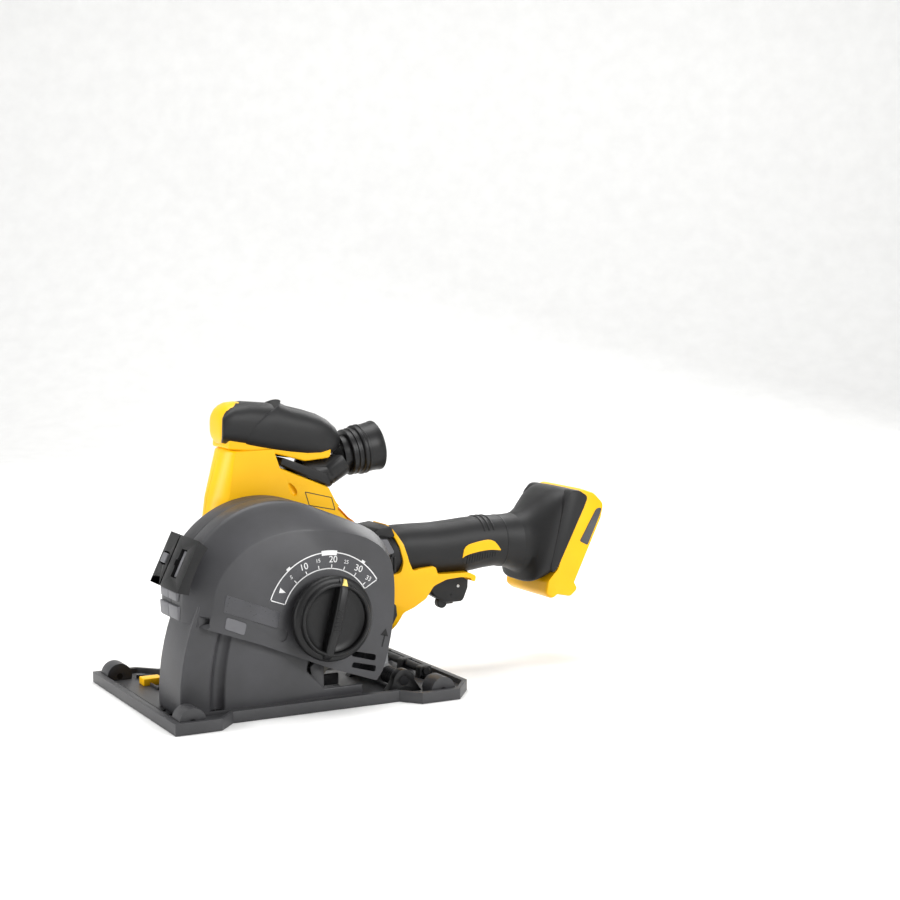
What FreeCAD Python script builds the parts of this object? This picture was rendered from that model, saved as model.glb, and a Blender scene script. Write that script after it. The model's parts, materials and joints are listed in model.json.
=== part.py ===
import FreeCAD, Part
import math
import os
import Sketcher

# Battery wall chaser: two diamond discs in a guard that plunges through a flat shoe.
# Frame: origin at the centre of the shoe's sole, +X towards the battery foot, +Y from the
# depth dial's side towards the motor's side, +Z up. All sizes are in millimetres.

V = FreeCAD.Vector
Rot = FreeCAD.Rotation
Y_AXIS = V(0, 1, 0)

SIZES = {
    # shoe
    "plate_thick": 4.5, "rim_high": 9.0, "rim_wide": 5.0,
    "shoe_front": -130.0, "shoe_rear": 131.0, "shoe_half": 100.5, "waist_half": 84.5,
    "roller_rad": 7.6, "roller_long": 13.0, "roller_rise": 7.65, "axle_rad": 2.5,
    "roller_front": -114.0, "roller_back": 99.0, "roller_side": 86.0,
    "cover_rad": 10.6, "cover_wall": 1.8, "cover_long": 17.0,
    # plunge pivot
    "pivot_x": 74.0, "pivot_z": 13.6, "shaft_rad": 4.0, "hub_rad": 8.0, "run_gap": 0.05,
    "shaft_from": -74.0, "shaft_to": 4.0,
    # guards
    "wall": 3.0, "lower_wall": 2.5, "cover_face": -74.0, "seam": -38.0, "guard_back": -15.0,
    "lower_near": -68.0, "lower_far": -20.0, "lower_sweep": 188.5,
    "rim_x": -30.0, "rim_z": 85.0, "rim_rad": 80.0,
    # spindle and discs
    "spin_x": -28.0, "spin_z": 70.0, "disc_rad": 62.5, "disc_thick": 2.4, "disc_mid": -44.0,
    "disc_space": 13.2, "flange_rad": 20.0, "spindle_rad": 8.0,
    # gear train and motor
    "motor_y": 25.0, "motor_tilt": 10.6, "gear_cell": 0.85, "gear_teeth": 40.0,
    "pinion_teeth": 10.0, "case_rad": 24.5, "case_back": 56.0, "neck_rad": 34.0,
    "barrel_rad": 38.5, "barrel_from": 46.0, "barrel_to": 118.0, "motor_from": 60.0,
    "motor_long": 34.0, "nose_rad": 1.6,
    # handle and foot
    "mid_y": 5.0, "skin": 2.5, "foot_wide": 70.0, "duct_wide": 40.0, "grip_wide": 44.0,
    # dust port
    "port_rad": 21.0, "port_bore": 17.5, "port_tilt": 10.0, "port_x": 26.0, "port_z": 187.0,
    # depth dial and trigger
    "dial_x": 6.0, "dial_z": 73.0, "dial_rad": 34.0, "dial_high": 17.0, "stem_rad": 7.0,
    "dial_gap": 1.8,
    "trigger_wide": 15.0, "lock_y": 37.0,
}

doc = FreeCAD.newDocument("WallChaser")
sheet = doc.addObject("Spreadsheet::Sheet", "Sizes")
for row, (alias, number) in enumerate(SIZES.items(), start=1):
    sheet.set("A%d" % row, alias)
    sheet.set("B%d" % row, str(number))
    sheet.setAlias("B%d" % row, alias)
doc.recompute()

nodes = []


def size(alias):
    return float(sheet.get(alias))


def cell(text):
    """Turns size names in a formula into references to the sheet's cells."""
    words = sorted(SIZES, key=len, reverse=True)
    for word in words:
        text = text.replace("$" + word, "Sizes." + word)
    return text


def keep(obj, label):
    """Marks an object as a finished sub-part, whose Label names its file."""
    obj.Label = label
    nodes.append(obj)
    return obj


# ---------------------------------------------------------------- sketch and feature helpers

def new_body(name):
    return doc.addObject("PartDesign::Body", name)


def sketch_on(body, role, offset="0"):
    """A sketch on one of the body's own origin planes, moved along its normal by a formula."""
    sketch = body.newObject("Sketcher::SketchObject", body.Name + "_sketch")
    plane = [f for f in body.Origin.OriginFeatures if f.Role == role][0]
    sketch.AttachmentSupport = [(plane, "")]
    sketch.MapMode = "FlatFace"
    sketch.setExpression(".AttachmentOffset.Base.z", cell(offset))
    doc.recompute()
    return sketch


def side_sketch(body, y_formula):
    """A sketch in a plane of constant Y: its axes are X and Z, and its normal is -Y."""
    return sketch_on(body, "XZ_Plane", "-(%s)" % y_formula)


def join_ends(sketch, ids):
    """Makes the touching ends of neighbouring curves coincident."""
    for here, there in zip(ids, ids[1:] + ids[:1]):
        pairs = [(a, b) for a in (1, 2) for b in (1, 2)
                 if sketch.getPoint(here, a).distanceToPoint(sketch.getPoint(there, b)) < 1e-5]
        a, b = pairs[0]
        sketch.addConstraint(Sketcher.Constraint("Coincident", here, a, there, b))


def draw(sketch, points):
    """A closed outline. A point is (x, y) for a line to it, or (x, y, mid_x, mid_y) for an arc."""
    ids = []
    last = points[-1]
    for point in points:
        start, end = V(last[0], last[1], 0), V(point[0], point[1], 0)
        if len(point) == 4:
            curve = Part.Arc(start, V(point[2], point[3], 0), end)
        else:
            curve = Part.LineSegment(start, end)
        ids.append(sketch.addGeometry(curve))
        last = point
    join_ends(sketch, ids)


def ring(sketch, x, y, radius_formula):
    """A circle whose radius follows the sheet."""
    circle = sketch.addGeometry(Part.Circle(V(x, y, 0), V(0, 0, 1), 1.0))
    rule = sketch.addConstraint(Sketcher.Constraint("Radius", circle, 1.0))
    sketch.setExpression("Constraints[%d]" % rule, cell(radius_formula))


def pad(body, sketch, length_formula, reverse=True):
    """Adds material; reversed on a side sketch means towards +Y."""
    feature = body.newObject("PartDesign::Pad", body.Name + "_pad")
    feature.Profile = sketch
    feature.Reversed = reverse
    feature.setExpression("Length", cell(length_formula))
    doc.recompute()
    return feature


def pocket(body, sketch, length_formula):
    """Removes material against the sketch's normal, and stops the build if it removed nothing."""
    before = body.Shape.Volume
    feature = body.newObject("PartDesign::Pocket", body.Name + "_pocket")
    feature.Profile = sketch
    feature.setExpression("Length", cell(length_formula))
    doc.recompute()
    if body.Shape.Volume > before - 1e-3:
        raise RuntimeError(body.Name + ": a pocket removed nothing")
    return feature


def side_pad(name, outline, y_from, length):
    """A body with one outline in X and Z, padded towards +Y."""
    body = new_body(name)
    sketch = side_sketch(body, y_from)
    draw(sketch, outline)
    pad(body, sketch, length)
    return body


def turned(name, profile, x_formula, y_formula, z_formula, rotation=None):
    """A body turned about a Y axis; the profile's points are (radius, distance along the axis)."""
    body = new_body(name)
    sketch = sketch_on(body, "XY_Plane")
    draw(sketch, profile)
    turn = body.newObject("PartDesign::Revolution", name + "_turn")
    turn.Profile = sketch
    turn.ReferenceAxis = (sketch, ["V_Axis"])
    turn.Angle = 360.0
    doc.recompute()
    if rotation is not None:
        body.Placement = FreeCAD.Placement(V(0, 0, 0), rotation)
    body.setExpression(".Placement.Base.x", cell(x_formula))
    body.setExpression(".Placement.Base.y", cell(y_formula))
    body.setExpression(".Placement.Base.z", cell(z_formula))
    return body


def box_profile(inner, outer, start, end):
    """The profile of a plain ring or, with no inner radius, of a plain disc."""
    return [(inner, start), (outer, start), (outer, end), (inner, end)]


def box(name, corner, lengths):
    """A Part box from its lowest corner and its three sizes, as formulas."""
    obj = doc.addObject("Part::Box", name)
    for axis, formula in zip("xyz", corner):
        obj.setExpression(".Placement.Base." + axis, cell(formula))
    for side, formula in zip(("Length", "Width", "Height"), lengths):
        obj.setExpression(side, cell(formula))
    return obj


def tapered(name, radius, far_radius, length, base, rotation):
    """A Part cone along the direction that a rotation turns +Y to."""
    obj = doc.addObject("Part::Cone", name)
    obj.Placement = FreeCAD.Placement(V(0, 0, 0), rotation.multiply(Rot(V(0, 0, 1), Y_AXIS)))
    for field, formula in zip(("Radius1", "Radius2", "Height"), (radius, far_radius, length)):
        obj.setExpression(field, cell(formula))
    for axis, formula in zip("xyz", base):
        obj.setExpression(".Placement.Base." + axis, cell(formula))
    return obj


def rod(name, radius, length, base, rotation=None):
    """A Part cylinder along +Y, or along the direction that a rotation turns +Y to."""
    obj = doc.addObject("Part::Cylinder", name)
    to_y = Rot(V(0, 0, 1), Y_AXIS)
    obj.Placement = FreeCAD.Placement(V(0, 0, 0), to_y if rotation is None else rotation.multiply(to_y))
    obj.setExpression("Radius", cell(radius))
    obj.setExpression("Height", cell(length))
    for axis, formula in zip("xyz", base):
        obj.setExpression(".Placement.Base." + axis, cell(formula))
    return obj


def cut(name, base, tool):
    obj = doc.addObject("Part::Cut", name)
    obj.Base = base
    obj.Tool = tool
    return obj


def fuse(name, shapes):
    obj = doc.addObject("Part::MultiFuse", name)
    obj.Shapes = shapes
    return obj


def join(name, shapes):
    """Joins solids one after another, for round pieces that meet at shallow angles."""
    joined = shapes[0]
    for number, shape in enumerate(shapes[1:]):
        step = doc.addObject("Part::Fuse", "%s_%d" % (name, number))
        step.Base, step.Tool = joined, shape
        joined = step
    return joined


def group(name, shapes):
    """Separate identical solids that share one node."""
    obj = doc.addObject("Part::Compound", name)
    obj.Links = shapes
    return obj


def halves(name, solid):
    """Splits a shell at the clamshell plane into its near and far halves."""
    blocks = {"near": box(name + "_far_block", ("-200", "$mid_y", "-50"), ("600", "200", "400")),
              "far": box(name + "_near_block", ("-200", "$mid_y-200", "-50"),
                         ("600", "200", "400"))}
    for side, block in blocks.items():
        half = cut(name + "_" + side + "_half", solid, block)
        doc.recompute()
        main = doc.addObject("Part::Feature", name + "_" + side + "_main")
        main.Shape = max(half.Shape.Solids, key=lambda piece: piece.Volume)
        keep(main, name + "_" + side)


def on_circle(centre_x, centre_z, radius, degrees):
    angle = math.radians(degrees)
    return centre_x + radius * math.cos(angle), centre_z + radius * math.sin(angle)


# ---------------------------------------------------------------- shoe

def shoe_outline(inset):
    """The shoe's plan: an ear at each corner and a waist between them on both long sides."""
    front, rear = size("shoe_front") + inset, size("shoe_rear") - inset
    half, waist = size("shoe_half") - inset, size("waist_half") - inset
    near = [(front, -half), (-93, -half), (-78, -waist), (64, -waist), (77, -half),
            (111, -half), (rear, -76)]
    return near + [(x, -y) for x, y in reversed(near)]


def shoe_plate():
    body = new_body("ShoePlate")
    rim = sketch_on(body, "XY_Plane")
    draw(rim, shoe_outline(0))
    pad(body, rim, "$rim_high", reverse=False)
    floor = sketch_on(body, "XY_Plane", "$rim_high")
    draw(floor, shoe_outline(size("rim_wide")))
    pocket(body, floor, "$rim_high-$plate_thick")
    slot = sketch_on(body, "XY_Plane", "$rim_high")
    draw(slot, [(-108, -58), (34, -58), (34, -30), (-108, -30)])
    pocket(body, slot, "2*$rim_high")
    windows = sketch_on(body, "XY_Plane", "$rim_high")
    reach = size("roller_rad") + 1.2
    wide = size("roller_long") / 2 + 1.0
    for x in (size("roller_front"), size("roller_back")):
        for y in (-size("roller_side"), size("roller_side")):
            draw(windows, [(x - reach, y - wide), (x + reach, y - wide),
                           (x + reach, y + wide), (x - reach, y + wide)])
    pocket(body, windows, "2*$rim_high")
    keep(body, "shoe_plate")


def roller_set():
    """Four guide rollers on pins, each under a half-round cover that holds its pin."""
    covers, axles = [], []
    places = (("front_near", "$roller_front", "-$roller_side"),
              ("front_far", "$roller_front", "$roller_side"),
              ("rear_near", "$roller_back", "-$roller_side"),
              ("rear_far", "$roller_back", "$roller_side"))
    bore = size("axle_rad") + size("run_gap")
    half = size("roller_long") / 2
    rad = size("roller_rad")
    edge = 1.0
    profile = [(bore, -half), (rad - edge, -half), (rad, edge - half), (rad, half - edge),
               (rad - edge, half), (bore, half)]
    for name, x, y in places:
        keep(turned("Roller_" + name, profile, x, y, "$roller_rise"), "roller_" + name)
        low_y = y + "-$cover_long/2"
        skin = rod("Skin_" + name, "$cover_rad", "$cover_long", (x, low_y, "$roller_rise"))
        room = rod("Room_" + name, "$cover_rad-$cover_wall", "$cover_long-2*$cover_wall",
                   (x, low_y + "+$cover_wall", "$roller_rise"))
        axle = rod("Axle_" + name, "$axle_rad", "$cover_long", (x, low_y, "$roller_rise"))
        below = box("Below_" + name, (x + "-20", low_y + "-5", "-30"),
                    ("40", "$cover_long+10", "30+$plate_thick"))
        trims = fuse("Trims_" + name, [room, axle, below])
        covers.append(cut("Cover_" + name, skin, trims))
        pin = rod("Pin_" + name, "$axle_rad", "$cover_long", (x, low_y, "$roller_rise"))
        axles.append(pin)
    keep(group("RollerCovers", covers), "roller_covers")
    keep(group("RollerAxles", axles), "roller_axles")


def pivot_parts():
    """The plunge pivot: a fixed shaft in two shoe brackets, and the spring around it."""
    x, z = size("pivot_x"), size("pivot_z")
    hub = size("hub_rad") + 1.5
    base = size("plate_thick")
    outline = [(x - 16, base), (x + 16, base), (x + hub, z), (x - hub, z, x, z + hub)]
    brackets = []
    for name, y_from in (("near", "$shaft_from"), ("far", "$shaft_to-8")):
        bracket = side_pad("Bracket_" + name, outline, y_from, "8")
        hole = side_sketch(bracket, y_from)
        ring(hole, x, z, "$shaft_rad")
        pocket(bracket, hole, "8")
        brackets.append(bracket)
    keep(group("PivotBrackets", brackets), "pivot_brackets")
    keep(rod("PivotShaft", "$shaft_rad", "$shaft_to-$shaft_from",
             ("$pivot_x", "$shaft_from", "$pivot_z")), "pivot_shaft")
    keep(turned("ReturnSpring", box_profile(5.0, 7.2, 0, 21), "$pivot_x", "-64", "$pivot_z"),
         "return_spring")


def lower_guard_walls(inset, low, top_margin):
    """The fixed guard in side view: its front edge is an arc about the plunge pivot."""
    pivot_x, pivot_z = size("pivot_x"), size("pivot_z")
    sweep = size("lower_sweep") - inset
    top = 90.0 + top_margin
    foot_angle = 180 - math.degrees(math.asin((low - pivot_z) / sweep))
    top_angle = 180 - math.degrees(math.asin((top - pivot_z) / sweep))
    foot = on_circle(pivot_x, pivot_z, sweep, foot_angle)
    middle = on_circle(pivot_x, pivot_z, sweep, (foot_angle + top_angle) / 2)
    peak = on_circle(pivot_x, pivot_z, sweep, top_angle)
    return foot, middle, peak


def lower_guard():
    base = size("plate_thick")
    foot, middle, peak = lower_guard_walls(0, base, 0)
    wide = "$lower_far-$lower_near"
    outline = [foot, (peak[0], peak[1], middle[0], middle[1]), (-4, 50), (-9, 30), (6, 14),
               (40, 14), (40, base)]
    body = side_pad("LowerGuard", outline, "$lower_near", wide)
    foot, middle, peak = lower_guard_walls(size("lower_wall"), base - 4, 8)
    room = side_sketch(body, "$lower_near+$lower_wall")
    draw(room, [foot, (peak[0], peak[1], middle[0], middle[1]), (60, 80), (60, base - 4)])
    pocket(body, room, wide + "-2*$lower_wall")
    notch = side_sketch(body, "$lower_far-$lower_wall-1")
    low_x, low_z, reach = -41.4, 29.6, 23.0
    draw(notch, [(low_x - reach, low_z + 60), (low_x - reach, low_z),
                 (low_x + reach, low_z, low_x, low_z - reach), (low_x + reach + 8, low_z + 60)])
    pocket(body, notch, "$lower_wall+2")
    keep(body, "lower_guard")


def shoe_fittings():
    """Small parts on the shoe: depth stop, cut indicator, parking catch and screws."""
    stop = side_pad("StopBracket", [(-3, 14.5), (7, 14.5), (7, 34), (2, 38), (-5, 32)],
                    "-65.5", "6")
    foot = box("StopFoot", ("-3", "-65.5", "4.5"), ("24", "6", "10"))
    keep(fuse("DepthStop", [stop, foot]), "depth_stop")
    mark = new_body("CutIndicator")
    plan = sketch_on(mark, "XY_Plane", "$plate_thick")
    front = size("shoe_front") + size("rim_wide")
    draw(plan, [(front, -56), (front + 9, -56), (front + 9, -48), (front + 3, -44),
                (front + 9, -40), (front + 9, -32), (front, -32)])
    pad(mark, plan, "1.5", reverse=False)
    keep(mark, "cut_indicator")
    keep(box("ParkingCatch", ("-104", "46", "$plate_thick"), ("16", "12", "6")), "parking_catch")
    screws = []
    head = [(0, 0), (1.8, 0), (1.8, 2.6), (3.6, 2.6), (3.6, 5.4), (0, 5.4)]
    to_z = Rot(Y_AXIS, V(0, 0, 1))
    for number, (x, y) in enumerate(((-96, 12), (-96, 78), (20, 66), (112, 40), (112, -40))):
        screws.append(turned("ShoeScrew%d" % number, head, str(x), str(y),
                             "$plate_thick-2.6", to_z))
    keep(group("ShoeScrews", screws), "shoe_screws")
    plate = [n for n in nodes if n.Label == "shoe_plate"][0]
    for number, screw in enumerate(screws):
        x, y = screw.Placement.Base.x, screw.Placement.Base.y
        hole = sketch_on(plate, "XY_Plane", "$rim_high")
        ring(hole, x, y, "1.8")
        pocket(plate, hole, "$rim_high-$plate_thick+2.6")


# ---------------------------------------------------------------- plunging guard

def guard_outline(inset):
    """The upper guard in side view: one arc over the discs, then a slope to the rear."""
    x, z, radius = size("rim_x"), size("rim_z"), size("rim_rad") - inset
    start = on_circle(x, z, radius, 174)
    top = on_circle(x, z, radius, 120)
    end = on_circle(x, z, radius, 66)
    rear = [(54 - 0.3 * inset, 137 - inset), (67 - inset, 120 - 0.4 * inset), (70 - inset, 100),
            (68 - inset, 64), (58 - inset, 23)]
    return start, top, end, rear


def guard_half(name, y_from, length, room_from, room_length):
    """Half of the guard: a rim, one side wall, open at the seam and along the bottom."""
    start, top, end, rear = guard_outline(0)
    bottom = [(50, 16.5), (8, 31), (-51, 56), (-110, 77)]
    body = side_pad(name, [start, (end[0], end[1], top[0], top[1])] + rear + bottom,
                    y_from, length)
    start, top, end, rear = guard_outline(size("wall"))
    room = side_sketch(body, room_from)
    draw(room, [start, (end[0], end[1], top[0], top[1])] + rear + [(46, 5), (-107, 60)])
    pocket(body, room, room_length)
    return body


def guards():
    cover = guard_half("GuardCover", "$cover_face", "$seam-$cover_face",
                       "$cover_face+$wall", "$seam-$cover_face-$wall")
    hole = side_sketch(cover, "$cover_face")
    ring(hole, size("dial_x"), size("dial_z"), "$stem_rad+$run_gap")
    pocket(cover, hole, "$wall")
    for low in (24, 33):
        vent = side_sketch(cover, "$cover_face")
        draw(vent, [(27, low + 5), (48, low), (49, low + 4), (28, low + 9)])
        pocket(cover, vent, "$wall")
    keep(cover, "guard_cover")
    inner = guard_half("UpperGuard", "$seam", "$guard_back-$seam",
                       "$seam", "$guard_back-$seam-$wall")
    hole = side_sketch(inner, "$guard_back-$wall")
    ring(hole, size("spin_x"), size("spin_z"), "19")
    pocket(inner, hole, "$wall")
    window = side_sketch(inner, "$guard_back-$wall")
    draw(window, [(-54, 112), (0, 112), (0, 146), (-54, 146)])
    pocket(inner, window, "$wall")
    keep(inner, "upper_guard")


def pivot_arm():
    """The arm that carries the tool on the pivot shaft, bolted to the guard's inner half."""
    x, z, hub = size("pivot_x"), size("pivot_z"), size("hub_rad")
    outline = [(x + 5, z + hub - 3), (x + 2, 62), (68.4, 64.5), (58.4, 23.2), (x - hub + 1, z - 1)]
    web = side_pad("ArmWeb", outline, "-36", "20")
    core = rod("ArmHub", "$hub_rad", "24", ("$pivot_x", "-39", "$pivot_z"))
    bore = rod("ArmBore", "$shaft_rad+$run_gap", "24", ("$pivot_x", "-39", "$pivot_z"))
    keep(cut("PivotArm", fuse("ArmSolid", [web, core]), bore), "pivot_arm")


LATCH_LOW = (-119.0, 103.0)
LATCH_HIGH = (-101.0, 141.0)
LATCH_HINGE = (-115.5, 105.0)


def latch_frame():
    """Unit vectors of the latch's outer face: along it in side view, and outwards."""
    run = V(LATCH_HIGH[0] - LATCH_LOW[0], 0, LATCH_HIGH[1] - LATCH_LOW[1])
    long = run.Length
    run.normalize()
    return run, V(-run.z, 0, run.x), long


def latch_outline(inner):
    """The latch block in side view, from the rim out to its flat outer face."""
    x, z, radius = size("rim_x"), size("rim_z"), size("rim_rad") + inner
    low, middle, high = [on_circle(x, z, radius, a) for a in (169, 155.5, 142)]
    return [LATCH_LOW, LATCH_HIGH, high, (low[0], low[1], middle[0], middle[1])]


def latch():
    """The cover latch: a base with a push button, a hook over the seam, and its catch."""
    run, out, long = latch_frame()
    base = side_pad("LatchBase", latch_outline(0), "$seam+1", "20")
    centre = V(LATCH_LOW[0], 0, LATCH_LOW[1]) + run * (long * 0.5)
    button_y = size("seam") + 11
    floor = centre - out * 6.0
    into = Rot(Y_AXIS, out)
    well = rod("ButtonWell", "5.6", "12", (str(floor.x), str(button_y), str(floor.z)), into)
    hinge_x, hinge_z = [str(place) for place in LATCH_HINGE]
    socket = rod("HingeSocket", "1.4", "14", (hinge_x, "$seam+0.5", hinge_z))
    keep(cut("LatchBlock", base, fuse("LatchBlockCuts", [well, socket])), "latch_base")
    seat = centre - out * 2.6
    keep(rod("LatchButton", "5.2", "4.1", (str(seat.x), str(button_y), str(seat.z)), into),
         "latch_button")
    hook = side_pad("LatchHookSolid", latch_outline(1.2), "-78", "38.6")
    deep = centre - out * 14.0
    window = rod("WindowSpace", "7", "30", (str(deep.x), "-58", str(deep.z)), into)
    pin = rod("HingePin", "1.3", "18", (hinge_x, "$seam-5", hinge_z))
    keep(fuse("LatchHook", [cut("HookBlock", hook, window), pin]), "latch_hook")
    bars = []
    for number, y in enumerate((-61.5, -54.5)):
        foot = centre - out * 8.0
        bars.append(rod("CatchBar%d" % number, "1.6", "6", (str(foot.x), str(y), str(foot.z)),
                        into))
    keep(group("LatchCatch", bars), "latch_catch")


# ---------------------------------------------------------------- spindle and discs

def spindle_parts():
    at = ("$spin_x", "0", "$spin_z")
    mid, space, thick = size("disc_mid"), size("disc_space"), size("disc_thick")
    near, far = mid - space / 2, mid + space / 2
    rad, disc, flange = size("spindle_rad"), size("disc_rad"), size("flange_rad")
    keep(turned("Spindle", [(0, near - thick - 8), (rad - 1, near - thick - 8),
                            (rad, near - thick - 7), (rad, 28), (5, 28), (5, 55), (0, 55)],
                *at), "spindle")
    rim_gap = 0.3
    discs = []
    for name, low in (("near", near - thick), ("far", far)):
        discs.append(turned("Disc_" + name, [
            (rad, low + rim_gap), (disc - 7, low + rim_gap), (disc - 7, low), (disc, low),
            (disc, low + thick), (disc - 7, low + thick), (disc - 7, low + thick - rim_gap),
            (rad, low + thick - rim_gap)], *at))
    keep(group("DiamondDiscs", discs), "diamond_discs")
    rings, count = [], 3
    step = (far - near + 2 * rim_gap) / count
    for number in range(count):
        low = near - rim_gap + number * step
        rings.append(turned("Spacer%d" % number, box_profile(rad, flange - 2, low, low + step),
                            *at))
    keep(group("DiscSpacers", rings), "disc_spacers")
    inner = far + thick - rim_gap
    keep(turned("InnerFlange", box_profile(rad, flange, inner, inner + 6), *at), "inner_flange")
    outer = near - thick + rim_gap
    keep(turned("ClampNut", [(rad, outer - 6), (flange - 5, outer - 6), (flange, outer - 3),
                             (flange, outer), (rad, outer)], *at), "clamp_nut")


def tooth(heel, toe, width, height, depth):
    """One straight bevel tooth as a loft from its outer end to its inner end."""
    def end(radius):
        scale = radius / heel
        low, top = width * scale / 2, width * scale * 0.28
        down, up = depth * scale, -height * scale
        corners = [V(radius, -low, down), V(radius, low, down), V(radius, top, up),
                   V(radius, -top, up), V(radius, -low, down)]
        return Part.makePolygon(corners)
    solid = Part.makeLoft([end(heel), end(toe)], True)
    return solid.reversed() if solid.Volume < 0 else solid


def bevel(cone_angle, heel, toe, teeth, cell_size, blank):
    """A bevel gear about +Z with its apex at the origin, teeth along the pitch cone."""
    single = tooth(heel, toe, cell_size * math.pi * 0.40, cell_size * 0.62, cell_size * 1.3)
    gear = blank
    for number in range(teeth):
        copy = single.copy()
        copy.rotate(V(0, 0, 0), V(0, 1, 0), cone_angle)
        copy.rotate(V(0, 0, 0), V(0, 0, 1), 360.0 * number / teeth)
        gear = gear.fuse(copy)
    return gear


def cone_blank(points):
    """A gear blank: a profile of (radius, height) points turned about +Z."""
    corners = [V(r, 0, h) for r, h in points + points[:1]]
    return Part.Face(Part.makePolygon(corners)).revolve(V(0, 0, 0), V(0, 0, 1), 360)


def gears():
    """The crown gear on the spindle and the pinion on the motor shaft share one apex."""
    module = size("gear_cell")
    big, small = size("gear_teeth"), size("pinion_teeth")
    pitch_big, pitch_small = module * big / 2, module * small / 2
    heel = math.hypot(pitch_big, pitch_small)
    toe = heel * 0.68
    crown_slope = math.degrees(math.atan2(pitch_small, pitch_big))
    drop, inner = module * 0.85, 0.62
    crown_root = pitch_small + drop
    crown_blank = cone_blank([
        (5, crown_root * inner), (pitch_big * inner, crown_root * inner),
        (pitch_big, crown_root), (pitch_big, crown_root + 4), (11, crown_root + 8),
        (5, crown_root + 8)])
    crown = bevel(-crown_slope, heel, toe, int(big), module, crown_blank)
    apex = V(size("spin_x"), size("motor_y"), size("spin_z"))
    keep_gear(crown, "crown_gear", apex, V(0, 1, 0))
    ring_of_teeth = pinion_teeth(pitch_small - drop, pitch_small + 0.62 * module,
                                 module * math.pi * 0.40, pitch_big, int(small))
    hub = Part.makeCylinder(pitch_small - drop - 0.3, 3.5, V(0, 0, pitch_big - 0.5))
    bore = Part.makeCylinder(size("nose_rad"), 40)
    keep_gear(ring_of_teeth.fuse(hub).cut(bore), "pinion", apex, motor_direction())


def pinion_teeth(root, tip, width, heel, teeth):
    """The toothed outline lofted towards the apex at the origin, so every flank is flat."""
    def outline(height):
        scale = height / heel
        corners = []
        for number in range(teeth):
            middle = math.radians((number + 0.5) * 360.0 / teeth)
            for radius, half in ((root, -0.5), (tip, -0.28), (tip, 0.28), (root, 0.5)):
                angle = middle + math.atan(width * half / radius)
                corners.append(V(radius * scale * math.cos(angle),
                                 radius * scale * math.sin(angle), height))
        return Part.makePolygon(corners + corners[:1])
    return Part.makeLoft([outline(heel * 0.68), outline(heel)], True, True)


def keep_gear(shape, label, apex, direction):
    """Stores a gear, turned so that its first tooth or gap lies in the line of mesh."""
    to_axis = Rot(V(0, 0, 1), direction)
    obj = doc.addObject("Part::Feature", label + "_solid")
    obj.Shape = shape
    obj.Placement = FreeCAD.Placement(apex, mesh_rotation(direction, to_axis))
    keep(obj, label)


def mesh_rotation(direction, to_axis):
    """The rotation that also brings the local X axis into the plane of both gear axes."""
    other = motor_direction() if abs(direction.y) > 0.5 else V(0, 1, 0)
    local = to_axis.multVec(V(1, 0, 0))
    angle = math.degrees(math.atan2(local.cross(other).dot(direction), local.dot(other)))
    return Rot(direction, angle).multiply(to_axis)


def motor_direction():
    tilt = math.radians(size("motor_tilt"))
    return V(math.cos(tilt), 0, math.sin(tilt))


def on_motor(name, profile):
    """A part turned about the motor's axis; distances start at the spindle's axis."""
    return turned(name, profile, "$spin_x", "$motor_y", "$spin_z",
                  Rot(Y_AXIS, motor_direction()))


# ---------------------------------------------------------------- gearcase and motor

def gearcase():
    along = Rot(Y_AXIS, motor_direction())
    start = ("$spin_x", "$motor_y", "$spin_z")
    drum = rod("CaseDrum", "$case_rad", "$case_back-$guard_back",
               ("$spin_x", "$guard_back", "$spin_z"))
    neck = tapered("CaseNeck", "$case_rad", "$neck_rad", "$barrel_from", start, along)
    drum_room = rod("DrumRoom", "$case_rad-$wall", "$case_back-$guard_back-4",
                    ("$spin_x", "$guard_back+4", "$spin_z"))
    neck_room = tapered("NeckRoom", "$case_rad-$wall", "$neck_rad-$wall", "$barrel_from", start, along)
    bore = rod("SpindleBore", "16", "20", ("$spin_x", "$guard_back-5", "$spin_z"))
    lock = rod("LockBore", "3.05", "60", ("$spin_x", "$lock_y", "$spin_z"), Rot(Y_AXIS, V(0, 0, 1)))
    rooms = fuse("CaseRooms", [drum_room, neck_room, bore, lock])
    keep(cut("Gearcase", fuse("CaseSolid", [drum, neck]), rooms), "gearcase")
    at = ("$spin_x", "0", "$spin_z")
    back = size("case_back")
    rad = size("case_rad")
    keep(turned("GearcaseCap", [(0, back), (rad, back), (rad, back + 2), (rad - 3, back + 5),
                                (0, back + 5)], *at), "gearcase_cap")
    ball = turned("BallBearing", box_profile(size("spindle_rad") + 0.05, 16, -15, -6), *at)
    needle = turned("NeedleBearing", box_profile(5.05, 9, back - 7, back), *at)
    keep(group("SpindleBearings", [ball, needle]), "spindle_bearings")


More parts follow.
